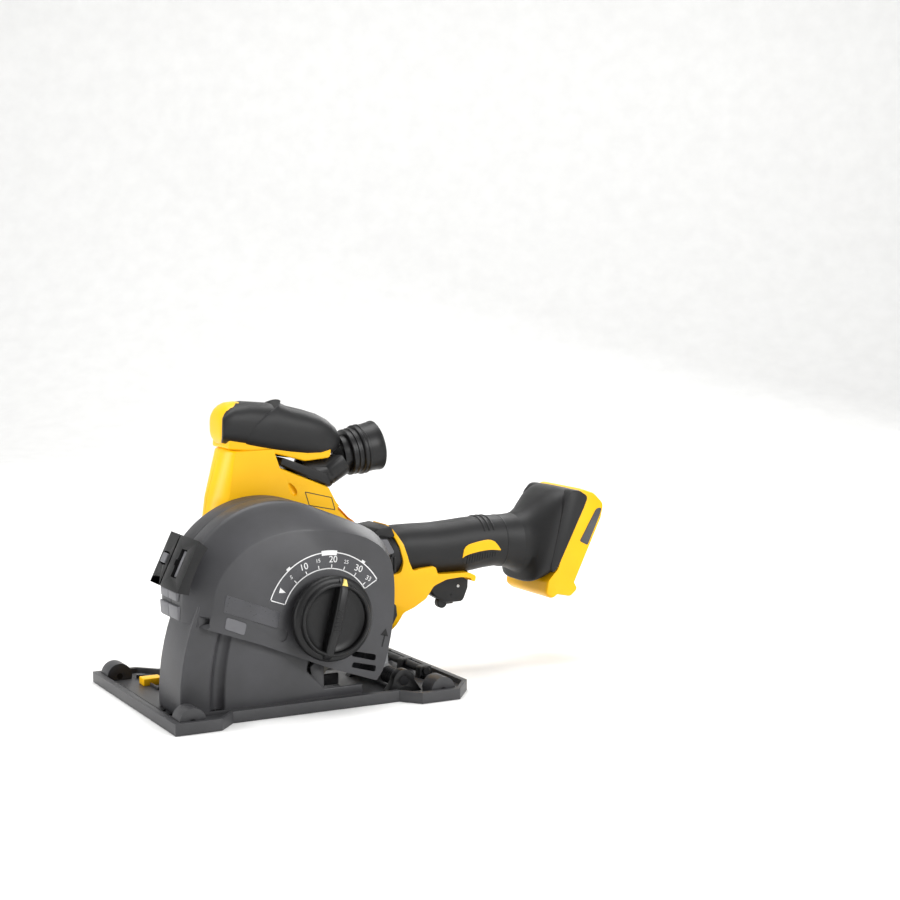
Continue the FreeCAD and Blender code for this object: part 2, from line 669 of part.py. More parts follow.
def motor():
    start, long = size("motor_from"), size("motor_long")
    case, neck, reach = size("case_rad") - size("wall"), size("neck_rad"), size("barrel_from")
    slope = (neck - size("case_rad")) / reach
    front_plate = on_motor("FrontPlate", [(9, 30), (case + 30 * slope, 30),
                                          (case + 36 * slope, 36), (9, 36)])
    nose = size("nose_rad")
    keep(on_motor("MotorShaft", [(0, 9.5), (nose, 9.5), (nose, 21), (3.5, 21), (3.5, 106), (0, 106)]),
         "motor_shaft")
    keep(on_motor("Rotor", box_profile(3.5, 15, start, start + long)), "rotor")
    keep(on_motor("Stator", box_profile(16, size("barrel_rad") - size("wall"),
                                           start - 1, start + long + 1)), "stator")
    hub = on_motor("FanHub", [(3.5, 44), (10, 44), (10, 52), (31, 52), (31, 54), (3.5, 54)])
    blades = []
    direction = motor_direction()
    centre = V(size("spin_x"), size("motor_y"), size("spin_z")) + direction * 46
    for number in range(9):
        blade = doc.addObject("Part::Box", "FanBlade%d" % number)
        blade.Length, blade.Width, blade.Height = 21, 1.4, 6.5
        turn = Rot(direction, 40.0 * number).multiply(Rot(V(0, 0, 1), direction))
        blade.Placement = FreeCAD.Placement(centre + turn.multVec(V(9, 0, 0)), turn)
        blades.append(blade)
    keep(fuse("Fan", [hub] + blades), "cooling_fan")
    rad, wall = size("barrel_rad"), size("wall")
    front, back = size("barrel_from"), size("barrel_to")
    shell = on_motor("MotorHousing", [
        (rad - wall, front), (rad, front), (rad, back - 8), (rad - 8, back), (10, back),
        (10, back - wall), (rad - wall - 6, back - wall), (rad - wall, back - wall - 6)])
    keep(shell, "motor_housing")
    rear = on_motor("RearPlate", box_profile(9, rad - wall, 97, 103))
    keep(group("BearingPlates", [front_plate, rear]), "bearing_plates")
    balls = [on_motor("MotorBall%d" % n, box_profile(3.55, 9, low, low + 6))
             for n, low in enumerate((30, 97))]
    keep(group("MotorBearings", balls), "motor_bearings")


def spindle_lock():
    keep(turned("SpindleLock", [(0, 0), (3, 0), (3, 9), (7, 9), (7, 13), (0, 13)],
                "$spin_x", "$lock_y", "$spin_z+19.5", Rot(Y_AXIS, V(0, 0, 1))), "spindle_lock")


# ---------------------------------------------------------------- handle, duct and foot

HANDLE_SECTIONS = (
    # x, centre y, centre z, half width, half height
    (90.0, 13.0, 90.0, 28.0, 35.0),
    (98.0, 8.0, 103.5, 22.0, 25.5),
    (108.0, 5.0, 108.0, 19.5, 20.5),
    (140.0, 5.0, 106.0, 20.0, 21.5),
    (172.0, 5.0, 107.5, 20.0, 22.0),
    (200.0, 5.0, 108.5, 20.5, 21.0),
    (228.0, 5.0, 104.0, 23.0, 27.0),
)


def oval_loft(name, sections, inset):
    """A loft through upright ovals along X."""
    body = new_body(name)
    sketches = []
    for x, y, z, half_wide, half_high in sections:
        sketch = sketch_on(body, "YZ_Plane", str(x))
        wide, high = half_wide - inset, half_high - inset
        centre = V(y, z, 0)
        if high >= wide:
            oval = Part.Ellipse(V(y, z + high, 0), V(y + wide, z, 0), centre)
        else:
            oval = Part.Ellipse(V(y + wide, z, 0), V(y, z + high, 0), centre)
        sketch.addGeometry(oval)
        sketches.append(sketch)
    loft = body.newObject("PartDesign::AdditiveLoft", name + "_loft")
    loft.Profile = sketches[0]
    loft.Sections = sketches[1:]
    doc.recompute()
    return body


def handle():
    skin = size("skin")
    solid = oval_loft("HandleSolid", HANDLE_SECTIONS, 0)
    room = oval_loft("HandleRoom", HANDLE_SECTIONS, skin)
    slot = box("TriggerSlot", ("125", "$mid_y-8.3", "80"), ("56", "16.6", "22"))
    barrel = rod("BarrelSpace", "$barrel_rad+0.3", "$barrel_to+0.3",
                 ("$spin_x", "$motor_y", "$spin_z"), Rot(Y_AXIS, motor_direction()))
    pin_hole = rod("PinHole", "1.7", "31", ("134", "$mid_y-15.5", "96"))
    shell = cut("HandleShell", solid, fuse("HandleRooms", [room, slot, barrel, pin_hole]))
    halves("handle", shell)
    sleeve_sections = [s for s in HANDLE_SECTIONS if s[0] > 100]
    outer = oval_loft("SleeveSolid", sleeve_sections, -1.8)
    under = box("SleeveSlot", ("124", "$mid_y-15", "60"), ("58", "30", "32"))
    keep(cut("GripSleeve", outer, fuse("SleeveCuts", [solid, under])), "grip_sleeve")
    bow = side_pad("BowSolid", [(92, 50), (107, 55), (120, 65), (127, 77), (127, 94), (100, 94)],
                   "$mid_y-11", "22")
    keep(cut("TriggerGuard", bow, fuse("BowCuts", [solid, outer, barrel])), "trigger_guard")
    keep(box("SwitchModule", ("142", "$mid_y-8", "101"), ("30", "16", "18")), "switch_module")
    keep(box("ControlBoard", ("180", "$mid_y-10", "98"), ("36", "20", "18")), "control_board")


# The dust duct in side view, from the guard's back up to the top grip, and its inside.
DUCT = [(-62, 99), (-61, 160, -63, 134), (-52, 202), (-12, 202), (-6, 186), (37, 168),
        (44, 155), (64, 134), (64, 131), (30, 125), (8, 119), (-14, 105), (-31, 99)]
DUCT_ROOM = [(-59.5, 101.5), (-58.5, 160, -60.5, 134), (-50, 199.5), (-13.7, 199.5),
             (-7.8, 184), (35.2, 166), (42, 153.5), (60, 133.2), (30, 127.6), (7, 121.4),
             (-15, 107.5), (-32, 101.5)]


def duct():
    y_from = "$guard_back+0.2"
    solid = side_pad("DuctSolid", DUCT, y_from, "$duct_wide")
    room = side_pad("DuctRoom", DUCT_ROOM, y_from + "+$skin", "$duct_wide-2*$skin")
    mouth = box("DuctMouth", ("-54", "$guard_back-5", "112"), ("54", "10", "34"))
    outlet = rod("DuctOutlet", "15.6", "30", ("17", "$mid_y", "160"),
                 Rot(Y_AXIS, V(0.37, 0, 0.93)))
    shell = cut("DuctShell", solid, fuse("DuctCuts", [room, mouth, outlet]))
    halves("duct", shell)


def top_grip():
    y_from = "$mid_y-$grip_wide/2"
    core = side_pad("GripCore", [(-52, 202), (-57, 217), (-52, 226, -56, 222), (30, 214),
                                 (44, 203), (38, 193), (17, 193), (-10, 202)],
                    y_from + "+4", "$grip_wide-8")
    keep(core, "top_grip_core")
    shell = side_pad("GripPadSolid", [(-56, 214), (-46, 238, -53, 230), (-29, 239), (1, 234),
                                      (29, 228), (52, 203, 47, 217), (41, 195), (17, 193.2),
                                      (-8, 203)], y_from, "$grip_wide")
    keep(cut("TopGripPad", shell, core), "top_grip_pad")


def port_point(distance):
    """A point on the dust port's axis, as three formulas."""
    tilt = math.radians(size("port_tilt"))
    return ("$port_x+%f" % (distance * math.cos(tilt)), "$mid_y",
            "$port_z+%f" % (distance * math.sin(tilt)))


def dust_port():
    """The elbow on the duct, and the turning collar that a hose pushes over."""
    tilt = math.radians(size("port_tilt"))
    turn = Rot(Y_AXIS, V(math.cos(tilt), 0, math.sin(tilt)))
    up, level = Rot(Y_AXIS, V(0.37, 0, 0.93)), Rot(Y_AXIS, V(1, 0, 0))
    knee = ("18", "$mid_y", "178.5")
    rise = Rot(Y_AXIS, V(0.82, 0, 0.57))
    solid = join("ElbowSolid", [
        rod("ElbowNeck", "17", "14", ("18", "$mid_y", "168"), up),
        rod("ElbowChannel", "13.5", "26", knee, level),
        tapered("ElbowRise", "13.8", "15", "16", ("40", "$mid_y", "179"), rise),
        rod("ElbowSeat", "15.2", "18", port_point(28), turn)])
    under_grip = box("UnderGrip", ("-10", "-40", "192.6"), ("62.5", "90", "40"))
    on_duct = side_pad("OnDuct", [(-30, 150), (44, 150), (44, 155), (37, 168), (-6, 186),
                                  (-30, 190)], "-40", "90")
    cuts = fuse("ElbowCuts", [
        under_grip, on_duct, rod("NeckSpace", "13", "13", ("17", "$mid_y", "165"), up),
        rod("ChannelSpace", "11", "20", knee, level),
        rod("RiseSpace", "11.2", "24", ("38.5", "$mid_y", "177.4"), rise),
        rod("SeatSpace", "12.8", "24", port_point(29), turn)])
    keep(cut("DustElbow", solid, cuts), "dust_elbow")
    rad, bore, seat = size("port_rad"), size("port_bore"), 15.5
    profile = [(seat, 0), (rad - 1, 0), (rad - 1, 7), (rad, 7), (rad, 10), (rad - 1.4, 10),
               (rad - 1.4, 14), (rad, 14), (rad, 29), (bore, 29), (bore, 13.5), (seat, 13.5)]
    x, y, z = port_point(34)
    keep(turned("DustCollar", profile, x, y, z, turn), "dust_collar")


def battery_foot():
    """The foot that a battery slides onto, its rubber boot, and the terminals inside."""
    y_from = "$mid_y-$foot_wide/2"
    outline = [(254, 128), (262, 140), (276, 149), (290, 149), (296, 139), (275, 64),
               (268, 57), (242, 57), (228, 76)]
    solid = side_pad("FootSolid", outline, y_from, "$foot_wide")
    rails = side_sketch(solid, y_from)
    draw(rails, [(283, 126), (292.5, 126), (278, 75), (268, 75)])
    pocket(solid, rails, "6")
    rails = side_sketch(solid, y_from + "+$foot_wide-6")
    draw(rails, [(283, 126), (292.5, 126), (278, 75), (268, 75)])
    pocket(solid, rails, "6")
    room = box("FootRoom", ("236", "$mid_y-14", "80"), ("34", "28", "34"))
    keep(cut("BatteryFoot", solid, room), "battery_foot")
    keep(box("TerminalBlock", ("252", "$mid_y-12", "86"), ("17", "24", "22")),
         "terminal_block")
    keep(side_pad("FootBoot", [(228.2, 77), (253.8, 128), (228.2, 132)],
                  "$mid_y-26", "52"), "foot_boot")


# ---------------------------------------------------------------- controls

def depth_dial():
    face = size("cover_face")
    rad, high, stem = size("dial_rad"), size("dial_high"), size("stem_rad")
    back = face - size("dial_gap")
    keep(turned("DepthStem", box_profile(0, stem, back - 5, face + size("wall") + 0.5),
                "$dial_x", "0", "$dial_z"), "dial_stem")
    bore = stem + size("run_gap")
    knob = turned("DialKnob", [
        (0, back - 5.1), (bore, back - 5.1), (bore, back), (rad, back), (rad, back - 6),
        (rad - 2, back - 8), (rad - 4.5, back - 8), (rad - 6, back - 6.6), (0, back - 6.6)],
        "$dial_x", "0", "$dial_z")
    bar_turn = Rot(Y_AXIS, -76)
    reach, thick = rad - 1, 8.0
    corner = bar_turn.multVec(V(-reach, 0, -thick / 2))
    bar = doc.addObject("Part::Box", "DialBar")
    bar.Length = 2 * reach
    bar.Width = high - 6.6
    bar.Height = thick
    bar.Placement = FreeCAD.Placement(corner, bar_turn)
    bar.setExpression(".Placement.Base.x", cell("%f+$dial_x" % corner.x))
    bar.setExpression(".Placement.Base.z", cell("%f+$dial_z" % corner.z))
    bar.setExpression(".Placement.Base.y", cell("$cover_face-$dial_gap-$dial_high"))
    keep(fuse("DepthDial", [knob, bar]), "depth_dial")


def trigger_parts():
    y_from = "$mid_y-$trigger_wide/2"
    paddle = side_pad("TriggerSolid", [(130, 100), (130, 80), (138, 63), (149, 57), (170, 57),
                                       (175, 70), (176, 90), (142, 99)], y_from,
                      "$trigger_wide")
    slot = box("LockSlot", ("150", "$mid_y-3.4", "50"), ("16", "6.8", "20"))
    pin_at = ("134", "$mid_y-15.2", "96")
    bore = rod("TriggerBore", "1.8", "31", pin_at)
    lock_at = ("157.5", "$mid_y-8", "65")
    lock_bore = rod("LockPinBore", "1.2", "16", lock_at)
    keep(cut("Trigger", paddle, fuse("TriggerCuts", [slot, bore, lock_bore])), "trigger")
    keep(rod("TriggerPin", "1.75", "30.4", pin_at), "trigger_pin")
    lever = side_pad("LockSolid", [(152, 69), (152, 60), (155, 53), (159, 53), (163, 62),
                                   (163, 68)], "$mid_y-3", "6")
    keep(fuse("LockLever", [lever, rod("LockPin", "1.15", "15.8",
                                       ("157.5", "$mid_y-7.9", "65"))]), "lock_off_lever")


shoe_plate()
roller_set()
lower_guard()
pivot_parts()
shoe_fittings()
guards()
pivot_arm()
latch()
spindle_parts()
gears()
gearcase()
motor()
spindle_lock()
handle()
duct()
top_grip()
dust_port()
battery_foot()
depth_dial()
trigger_parts()
doc.recompute()

for obj in doc.Objects:
    if "Invalid" in obj.State or "Error" in obj.State:
        raise RuntimeError("%s failed: %s" % (obj.Label, obj.State))
os.makedirs("parts", exist_ok=True)
for obj in nodes:
    if obj.Shape.isNull() or not obj.Shape.isValid():
        raise RuntimeError(obj.Label + " has no valid shape")
for obj in nodes:
    obj.Shape.exportStep("parts/%s.step" % obj.Label)
    print("%-20s solids %2d  volume %9.1f mm3" % (obj.Label, len(obj.Shape.Solids), obj.Shape.Volume))
print(len(nodes), "nodes")
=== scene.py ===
import bmesh
import bpy
import json
import math
from mathutils import Euler, Matrix, Vector


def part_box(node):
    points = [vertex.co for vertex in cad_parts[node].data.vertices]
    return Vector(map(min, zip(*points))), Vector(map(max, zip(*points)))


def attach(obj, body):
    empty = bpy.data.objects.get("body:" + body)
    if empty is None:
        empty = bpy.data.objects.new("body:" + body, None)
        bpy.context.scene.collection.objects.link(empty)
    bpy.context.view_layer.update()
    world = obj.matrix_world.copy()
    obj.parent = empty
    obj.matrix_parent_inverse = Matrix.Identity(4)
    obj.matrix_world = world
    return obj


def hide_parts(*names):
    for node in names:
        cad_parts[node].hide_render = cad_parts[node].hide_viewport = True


# Battery wall chaser. Shapes are written in millimetres in the tool's frame and become metres
# when a mesh is made: origin at the middle of the shoe's sole, +X to the battery foot, +Z up.

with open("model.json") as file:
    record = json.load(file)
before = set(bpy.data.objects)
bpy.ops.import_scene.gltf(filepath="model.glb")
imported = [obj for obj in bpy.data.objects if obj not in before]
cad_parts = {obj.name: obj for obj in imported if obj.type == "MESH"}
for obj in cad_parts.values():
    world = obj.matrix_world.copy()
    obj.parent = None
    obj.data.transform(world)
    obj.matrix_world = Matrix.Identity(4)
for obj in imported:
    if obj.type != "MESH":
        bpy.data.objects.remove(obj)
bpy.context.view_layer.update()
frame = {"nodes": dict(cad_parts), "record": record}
nodes = frame["nodes"]
MM = 0.001
SIDE_TURN = Matrix.Rotation(math.radians(90), 4, "X")
FLAT_ANGLE = math.radians(2)


def node_mm(name):
    """A CAD node's lowest and highest corners, in millimetres."""
    low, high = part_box(name)
    return low / MM, high / MM


# ---------------------------------------------------------------- places read from the frame

COVER_FACE = node_mm("guard_cover")[0].y
SEAM = node_mm("guard_cover")[1].y
GUARD_BACK = node_mm("upper_guard")[1].y
DIAL_LOW, DIAL_HIGH = node_mm("depth_dial")
DIAL_X = (DIAL_LOW.x + DIAL_HIGH.x) / 2
DIAL_Z = (DIAL_LOW.z + DIAL_HIGH.z) / 2
DIAL_RAD = (DIAL_HIGH.x - DIAL_LOW.x) / 2
DUCT_NEAR = node_mm("duct_near")[0].y
DUCT_FAR = node_mm("duct_far")[1].y
MID = node_mm("duct_near")[1].y
FOOT_NEAR = node_mm("battery_foot")[0].y
FOOT_FAR = node_mm("battery_foot")[1].y
GRIP_NEAR = node_mm("top_grip_pad")[0].y
GRIP_FAR = node_mm("top_grip_pad")[1].y
LOWER_NEAR = node_mm("lower_guard")[0].y
LOWER_FAR = node_mm("lower_guard")[1].y
MOTOR_TILT = math.radians(10.6)
MOTOR_AXIS = Vector((math.cos(MOTOR_TILT), 0, math.sin(MOTOR_TILT)))
MOTOR_FROM = Vector((-28, 25, 70))
PORT_TILT = math.radians(10)
PORT_AXIS = Vector((math.cos(PORT_TILT), 0, math.sin(PORT_TILT)))
PORT_FROM = Vector((26, 5, 187))


# ---------------------------------------------------------------- materials

def linear(hex_colour):
    """An sRGB hex colour as linear RGBA."""
    channels = [int(hex_colour[i:i + 2], 16) / 255 for i in (1, 3, 5)]
    return [c / 12.92 if c <= 0.04045 else ((c + 0.055) / 1.055) ** 2.4 for c in channels] + [1]


def add(tree, kind, settings=None, links=None):
    """Adds a node; settings are properties or input values, links are input: (node, output)."""
    node = tree.nodes.new(kind)
    for name, value in (settings or {}).items():
        if name in node.inputs:
            node.inputs[name].default_value = value
        else:
            setattr(node, name, value)
    for name, (source, output) in (links or {}).items():
        tree.links.new(source.outputs[output], node.inputs[name])
    return node


def surface(name, dark, light, roughness, grain_mm, depth_mm, metallic=0.0, blotch_mm=35.0,
            rough_spread=0.08, **shader_values):
    """A moulded, cast or ground surface: slow colour drift, fine grain in bump and roughness."""
    material = bpy.data.materials.new(name)
    material.use_nodes = True
    tree = material.node_tree
    tree.nodes.clear()
    place = add(tree, "ShaderNodeTexCoord")
    drift = add(tree, "ShaderNodeTexNoise",
                {"Scale": 1 / (blotch_mm * MM), "Detail": 3.0, "Roughness": 0.55},
                {"Vector": (place, "Object")})
    colours = add(tree, "ShaderNodeValToRGB", {}, {"Fac": (drift, "Fac")})
    colours.color_ramp.elements[0].position = 0.3
    colours.color_ramp.elements[0].color = linear(dark)
    colours.color_ramp.elements[1].position = 0.7
    colours.color_ramp.elements[1].color = linear(light)
    grain = add(tree, "ShaderNodeTexNoise",
                {"Scale": 1 / (grain_mm * MM), "Detail": 4.0, "Roughness": 0.6},
                {"Vector": (place, "Object")})
    rough = add(tree, "ShaderNodeMapRange",
                {"To Min": roughness - rough_spread, "To Max": roughness + rough_spread},
                {"Value": (grain, "Fac")})
    bump = add(tree, "ShaderNodeBump", {"Strength": 1.0, "Distance": depth_mm * MM},
               {"Height": (grain, "Fac")})
    shader = add(tree, "ShaderNodeBsdfPrincipled", {"Metallic": metallic, **shader_values},
                 {"Base Color": (colours, "Color"), "Roughness": (rough, "Result"),
                  "Normal": (bump, "Normal")})
    add(tree, "ShaderNodeOutputMaterial", {}, {"Surface": (shader, "BSDF")})
    return material


def nylon_guard():
    # glass-filled nylon from a spark-eroded mould: dark grey, even, satin with a fine grain
    return surface("glass_filled_nylon_guard_grey", "#333335", "#3C3C3F", 0.47, 0.9, 0.05)


def nylon_shoe():
    return surface("glass_filled_nylon_shoe", "#2E2E30", "#38383A", 0.46, 0.8, 0.06)


def nylon_black():
    # the black mouldings: same process, deeper colour
    return surface("glass_filled_nylon_black", "#0C0C0D", "#131314", 0.42, 0.7, 0.04,
                   **{"Specular IOR Level": 0.35})


def nylon_lug():
    return surface("nylon_lug_light_grey", "#5C5C5F", "#68686C", 0.5, 0.8, 0.04)


def abs_yellow():
    # moulded ABS with a polished tool: saturated, soft gloss, slight flow marks
    return surface("moulded_abs_yellow", "#F0B200", "#F8BE04", 0.38, 1.1, 0.02,
                   blotch_mm=60.0, **{"Specular IOR Level": 0.3})


def rubber_black():
    # overmoulded thermoplastic rubber: nearly black, matt, leathery grain
    return surface("overmoulded_rubber", "#0F0F10", "#161617", 0.5, 0.6, 0.06,
                   **{"Specular IOR Level": 0.35})


def cast_alloy():
    # shot-blasted aluminium die casting
    return surface("die_cast_aluminium", "#8E8F90", "#A5A6A8", 0.5, 0.7, 0.08, metallic=0.9)


def ground_steel():
    return surface("ground_steel", "#A9A9A8", "#C2C2C0", 0.28, 0.35, 0.01, metallic=1.0)


def black_oxide_steel():
    return surface("black_oxide_steel", "#242425", "#343436", 0.38, 0.5, 0.02, metallic=0.9)


def roller_plastic():
    return surface("turned_acetal_roller", "#161617", "#202022", 0.35, 1.2, 0.02)


def diamond_rim():
    # sintered bond with grit standing out of a sprayed steel core
    return surface("diamond_disc_bond", "#5B5A57", "#77746E", 0.55, 0.5, 0.12, metallic=0.7)


def lamination():
    return surface("stacked_lamination_steel", "#4F5052", "#6B6C6E", 0.45, 0.6, 0.03, metallic=0.9)


def fan_nylon():
    return surface("unfilled_nylon_fan", "#2A2C30", "#34363A", 0.4, 0.9, 0.02)


def circuit_board():
    return surface("solder_masked_board", "#0D4A2B", "#12613A", 0.3, 2.0, 0.02, blotch_mm=6.0)


def marker_yellow():
    return surface("pad_printed_pale_yellow", "#E9CE6A", "#F3DA7C", 0.45, 0.6, 0.01)


def print_white():
    # pad-printed ink: thin, slightly uneven, matt
    return surface("pad_printed_white", "#D5D5D5", "#EDEDED", 0.55, 0.5, 0.01)


def print_black():
    return surface("pad_printed_black", "#1B1A16", "#24221D", 0.5, 0.6, 0.01)


def label_plate():
    return surface("printed_film_label_grey", "#3A3A3D", "#47474B", 0.3, 1.5, 0.01)


GUARD = nylon_guard()
SHOE = nylon_shoe()
BLACK = nylon_black()
LUG = nylon_lug()
YELLOW = abs_yellow()
RUBBER = rubber_black()
ALLOY = cast_alloy()
STEEL = ground_steel()
DARK_STEEL = black_oxide_steel()
ACETAL = roller_plastic()
DIAMOND = diamond_rim()
LAMINATION = lamination()
FAN = fan_nylon()
BOARD = circuit_board()
MARK = marker_yellow()
WHITE = print_white()
INK = print_black()
LABEL = label_plate()

SLOT_FINISH = {
    "guard_grey": GUARD, "black_plastic": BLACK, "yellow_plastic": YELLOW,
    "black_rubber": RUBBER, "cast_alloy": ALLOY, "steel": STEEL, "dark_steel": DARK_STEEL,
    "roller_plastic": ACETAL, "diamond": DIAMOND, "lamination": LAMINATION,
    "fan_plastic": FAN, "board": BOARD, "marker_yellow": MARK,
}
FINISH_SLOT = {material: slot for slot, material in SLOT_FINISH.items()}
FINISH_SLOT.update({SHOE: "guard_grey", LUG: "guard_grey", WHITE: "marker_yellow",
                    INK: "black_plastic", LABEL: "black_plastic"})


# ---------------------------------------------------------------- mesh helpers

def smooth(mesh, degrees):
    mesh.shade_smooth()
    mesh.set_sharp_from_angle(angle=math.radians(degrees))


def plain_copy(obj, name):
    """The evaluated object as a plain mesh at the origin; the original is removed."""
    bpy.context.view_layer.update()
    evaluated = obj.evaluated_get(bpy.context.evaluated_depsgraph_get())
    mesh = bpy.data.meshes.new_from_object(evaluated)
    mesh.transform(obj.matrix_world)
    bpy.data.objects.remove(obj)
    done = bpy.data.objects.new(name, mesh)
    bpy.context.scene.collection.objects.link(done)
    return done


def raw(name, vertices, faces):
    """An object from millimetre points; its normals are made consistent."""
    mesh = bpy.data.meshes.new(name)
    mesh.from_pydata([Vector(v) * MM for v in vertices], [], faces)
    bm = bmesh.new()
    bm.from_mesh(mesh)
    bmesh.ops.remove_doubles(bm, verts=bm.verts, dist=1e-6)
    bmesh.ops.recalc_face_normals(bm, faces=bm.faces)
    bm.to_mesh(mesh)
    bm.free()
    obj = bpy.data.objects.new(name, mesh)
    bpy.context.scene.collection.objects.link(obj)
    return obj


def finish(obj, material, body, replaces=(), bevel_mm=0.0, segments=3, cuts=(), angle=32,
           bevel_angle=32):
    """Cuts, rounds and smooths a piece, gives it its finish and hands it to its body."""
    name = obj.name
    for cutter in cuts:
        boolean = obj.modifiers.new("cut", "BOOLEAN")
        boolean.operation = "DIFFERENCE"
        boolean.solver = "EXACT"
        boolean.object = cutter
    if bevel_mm:
        bevel = obj.modifiers.new("round", "BEVEL")
        bevel.width = bevel_mm * MM
        bevel.segments = segments
        bevel.limit_method = "ANGLE"
        bevel.angle_limit = math.radians(bevel_angle)
    obj.name = name + "_raw"
    done = plain_copy(obj, name)
    for cutter in cuts:
        bpy.data.objects.remove(cutter)
    done.data.materials.clear()
    done.data.materials.append(material)
    smooth(done.data, angle)
    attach(done, body)
    if replaces:
        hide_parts(*replaces)
    return done


def rounded(points, steps=6):
    """A closed outline of (a, b) or (a, b, radius) corners; every corner gives steps+1 points."""
    outline = []
    count = len(points)
    for i, point in enumerate(points):
        here = Vector(point[:2])
        radius = point[2] if len(point) > 2 else 0.01
        back = Vector(points[i - 1][:2]) - here
        onward = Vector(points[(i + 1) % count][:2]) - here
        room = 0.49 * min(back.length, onward.length)
        back.normalize()
        onward.normalize()
        half = back.angle(onward) / 2
        run = min(radius / max(math.tan(half), 1e-3), room)
        start, end = here + back * run, here + onward * run
        for step in range(steps + 1):
            t = step / steps
            outline.append(start * (1 - t) ** 2 + here * 2 * t * (1 - t) + end * t ** 2)
    return outline


def arc(centre, radius, start, end, count):
    """Points along an arc, angles in degrees."""
    turns = [math.radians(start + (end - start) * i / (count - 1)) for i in range(count)]
    return [(centre[0] + radius * math.cos(a), centre[1] + radius * math.sin(a)) for a in turns]


def mixed(first, second, t):
    return [Vector(a) * (1 - t) + Vector(b) * t for a, b in zip(first, second)]


def upright(outline, y):
    """An (x, z) outline as 3-D points at one y."""
    return [Vector((p[0], y, p[1])) for p in outline]


def stacked(name, rings, closed=True, caps=True):
    """A skin through rings of equal length, with flat ends when caps is set."""
    count = len(rings[0])
    vertices = [v for ring in rings for v in ring]
    faces = []
    for layer in range(len(rings) - 1):
        for i in range(count if closed else count - 1):
            j = (i + 1) % count
            a, b = layer * count, (layer + 1) * count
            faces.append((a + i, a + j, b + j, b + i))
    if caps:
        faces.append(tuple(reversed(range(count))))
        last = (len(rings) - 1) * count
        faces.append(tuple(range(last, last + count)))
    return raw(name, vertices, faces)


def slab(name, outline, y_from, y_to):
    return stacked(name, [upright(outline, y_from), upright(outline, y_to)])


def pillowed(name, outer, face, y_near, y_far, profile):
    """A body whose two sides shrink from the outer outline to the face outline.
    profile holds (depth from the side, share of the face outline)."""
    near = [upright(mixed(outer, face, share), y_near + depth) for depth, share in profile]
    far = [upright(mixed(outer, face, share), y_far - depth) for depth, share in profile]
    return stacked(name, near + far[::-1])


def turned(name, profile, centre, axis, count=72):
    """A lathe piece: profile of (radius, distance along axis), closed on itself or on the axis."""
    turn = Vector(axis).to_track_quat("Z", "Y").to_matrix()
    vertices, faces = [], []
    for radius, along in profile:
        for i in range(count):
            a = 2 * math.pi * i / count
            local = Vector((radius * math.cos(a), radius * math.sin(a), along))
            vertices.append(Vector(centre) + turn @ local)
    rows = len(profile)
    for row in range(rows - 1):
        for i in range(count):
            j = (i + 1) % count
            a, b = row * count, (row + 1) * count
            faces.append((a + i, a + j, b + j, b + i))
    if profile[0][0] > 0 and profile[0] != profile[-1]:
        faces.append(tuple(reversed(range(count))))
        faces.append(tuple(range((rows - 1) * count, rows * count)))
    return raw(name, vertices, faces)


def oval(x, y, z, half_wide, half_high, power=2.3, count=48, lean=None):
    """A rounded cross-section across X; lean turns it about Y in degrees."""
    ring = []
    for i in range(count):
        a = 2 * math.pi * i / count
        c, s = math.cos(a), math.sin(a)
        across = half_wide * math.copysign(abs(c) ** (2 / power), c)
        up = half_high * math.copysign(abs(s) ** (2 / power), s)
        if lean:
            tilt = math.radians(lean)
            ring.append(Vector((x + up * math.sin(tilt), y + across, z + up * math.cos(tilt))))
        else:
            ring.append(Vector((x, y + across, z + up)))
    return ring


def block(name, centre, lengths, turn=(0, 0, 0)):
    """A six-sided cutter or rib."""
    half = Vector(lengths) / 2
    spin = Euler([math.radians(t) for t in turn]).to_matrix()
    corners = [Vector((sx, sy, sz)) for sx in (-1, 1) for sy in (-1, 1) for sz in (-1, 1)]
    points = [Vector(centre) + spin @ Vector(c * h for c, h in zip(k, half)) for k in corners]
    faces = [(0, 1, 3, 2), (4, 6, 7, 5), (0, 4, 5, 1), (2, 3, 7, 6), (0, 2, 6, 4), (1, 5, 7, 3)]
    return raw(name, points, faces)


def softened(node, body, material, bevel_mm, segments=2, cuts=()):
    """A CAD node's own shape with its flats joined and its edges rounded as the mould leaves them."""
    mesh = nodes[node].data.copy()
    bm = bmesh.new()
    bm.from_mesh(mesh)
    bmesh.ops.remove_doubles(bm, verts=bm.verts, dist=1e-6)
    bmesh.ops.dissolve_limit(bm, angle_limit=FLAT_ANGLE, verts=bm.verts, edges=bm.edges)
    bm.to_mesh(mesh)
    bm.free()
    obj = bpy.data.objects.new(node + "_moulding", mesh)
    bpy.context.scene.collection.objects.link(obj)
    return finish(obj, material, body, (node,), bevel_mm, segments, cuts, 30, 40)


# ---------------------------------------------------------------- repeats with Geometry Nodes

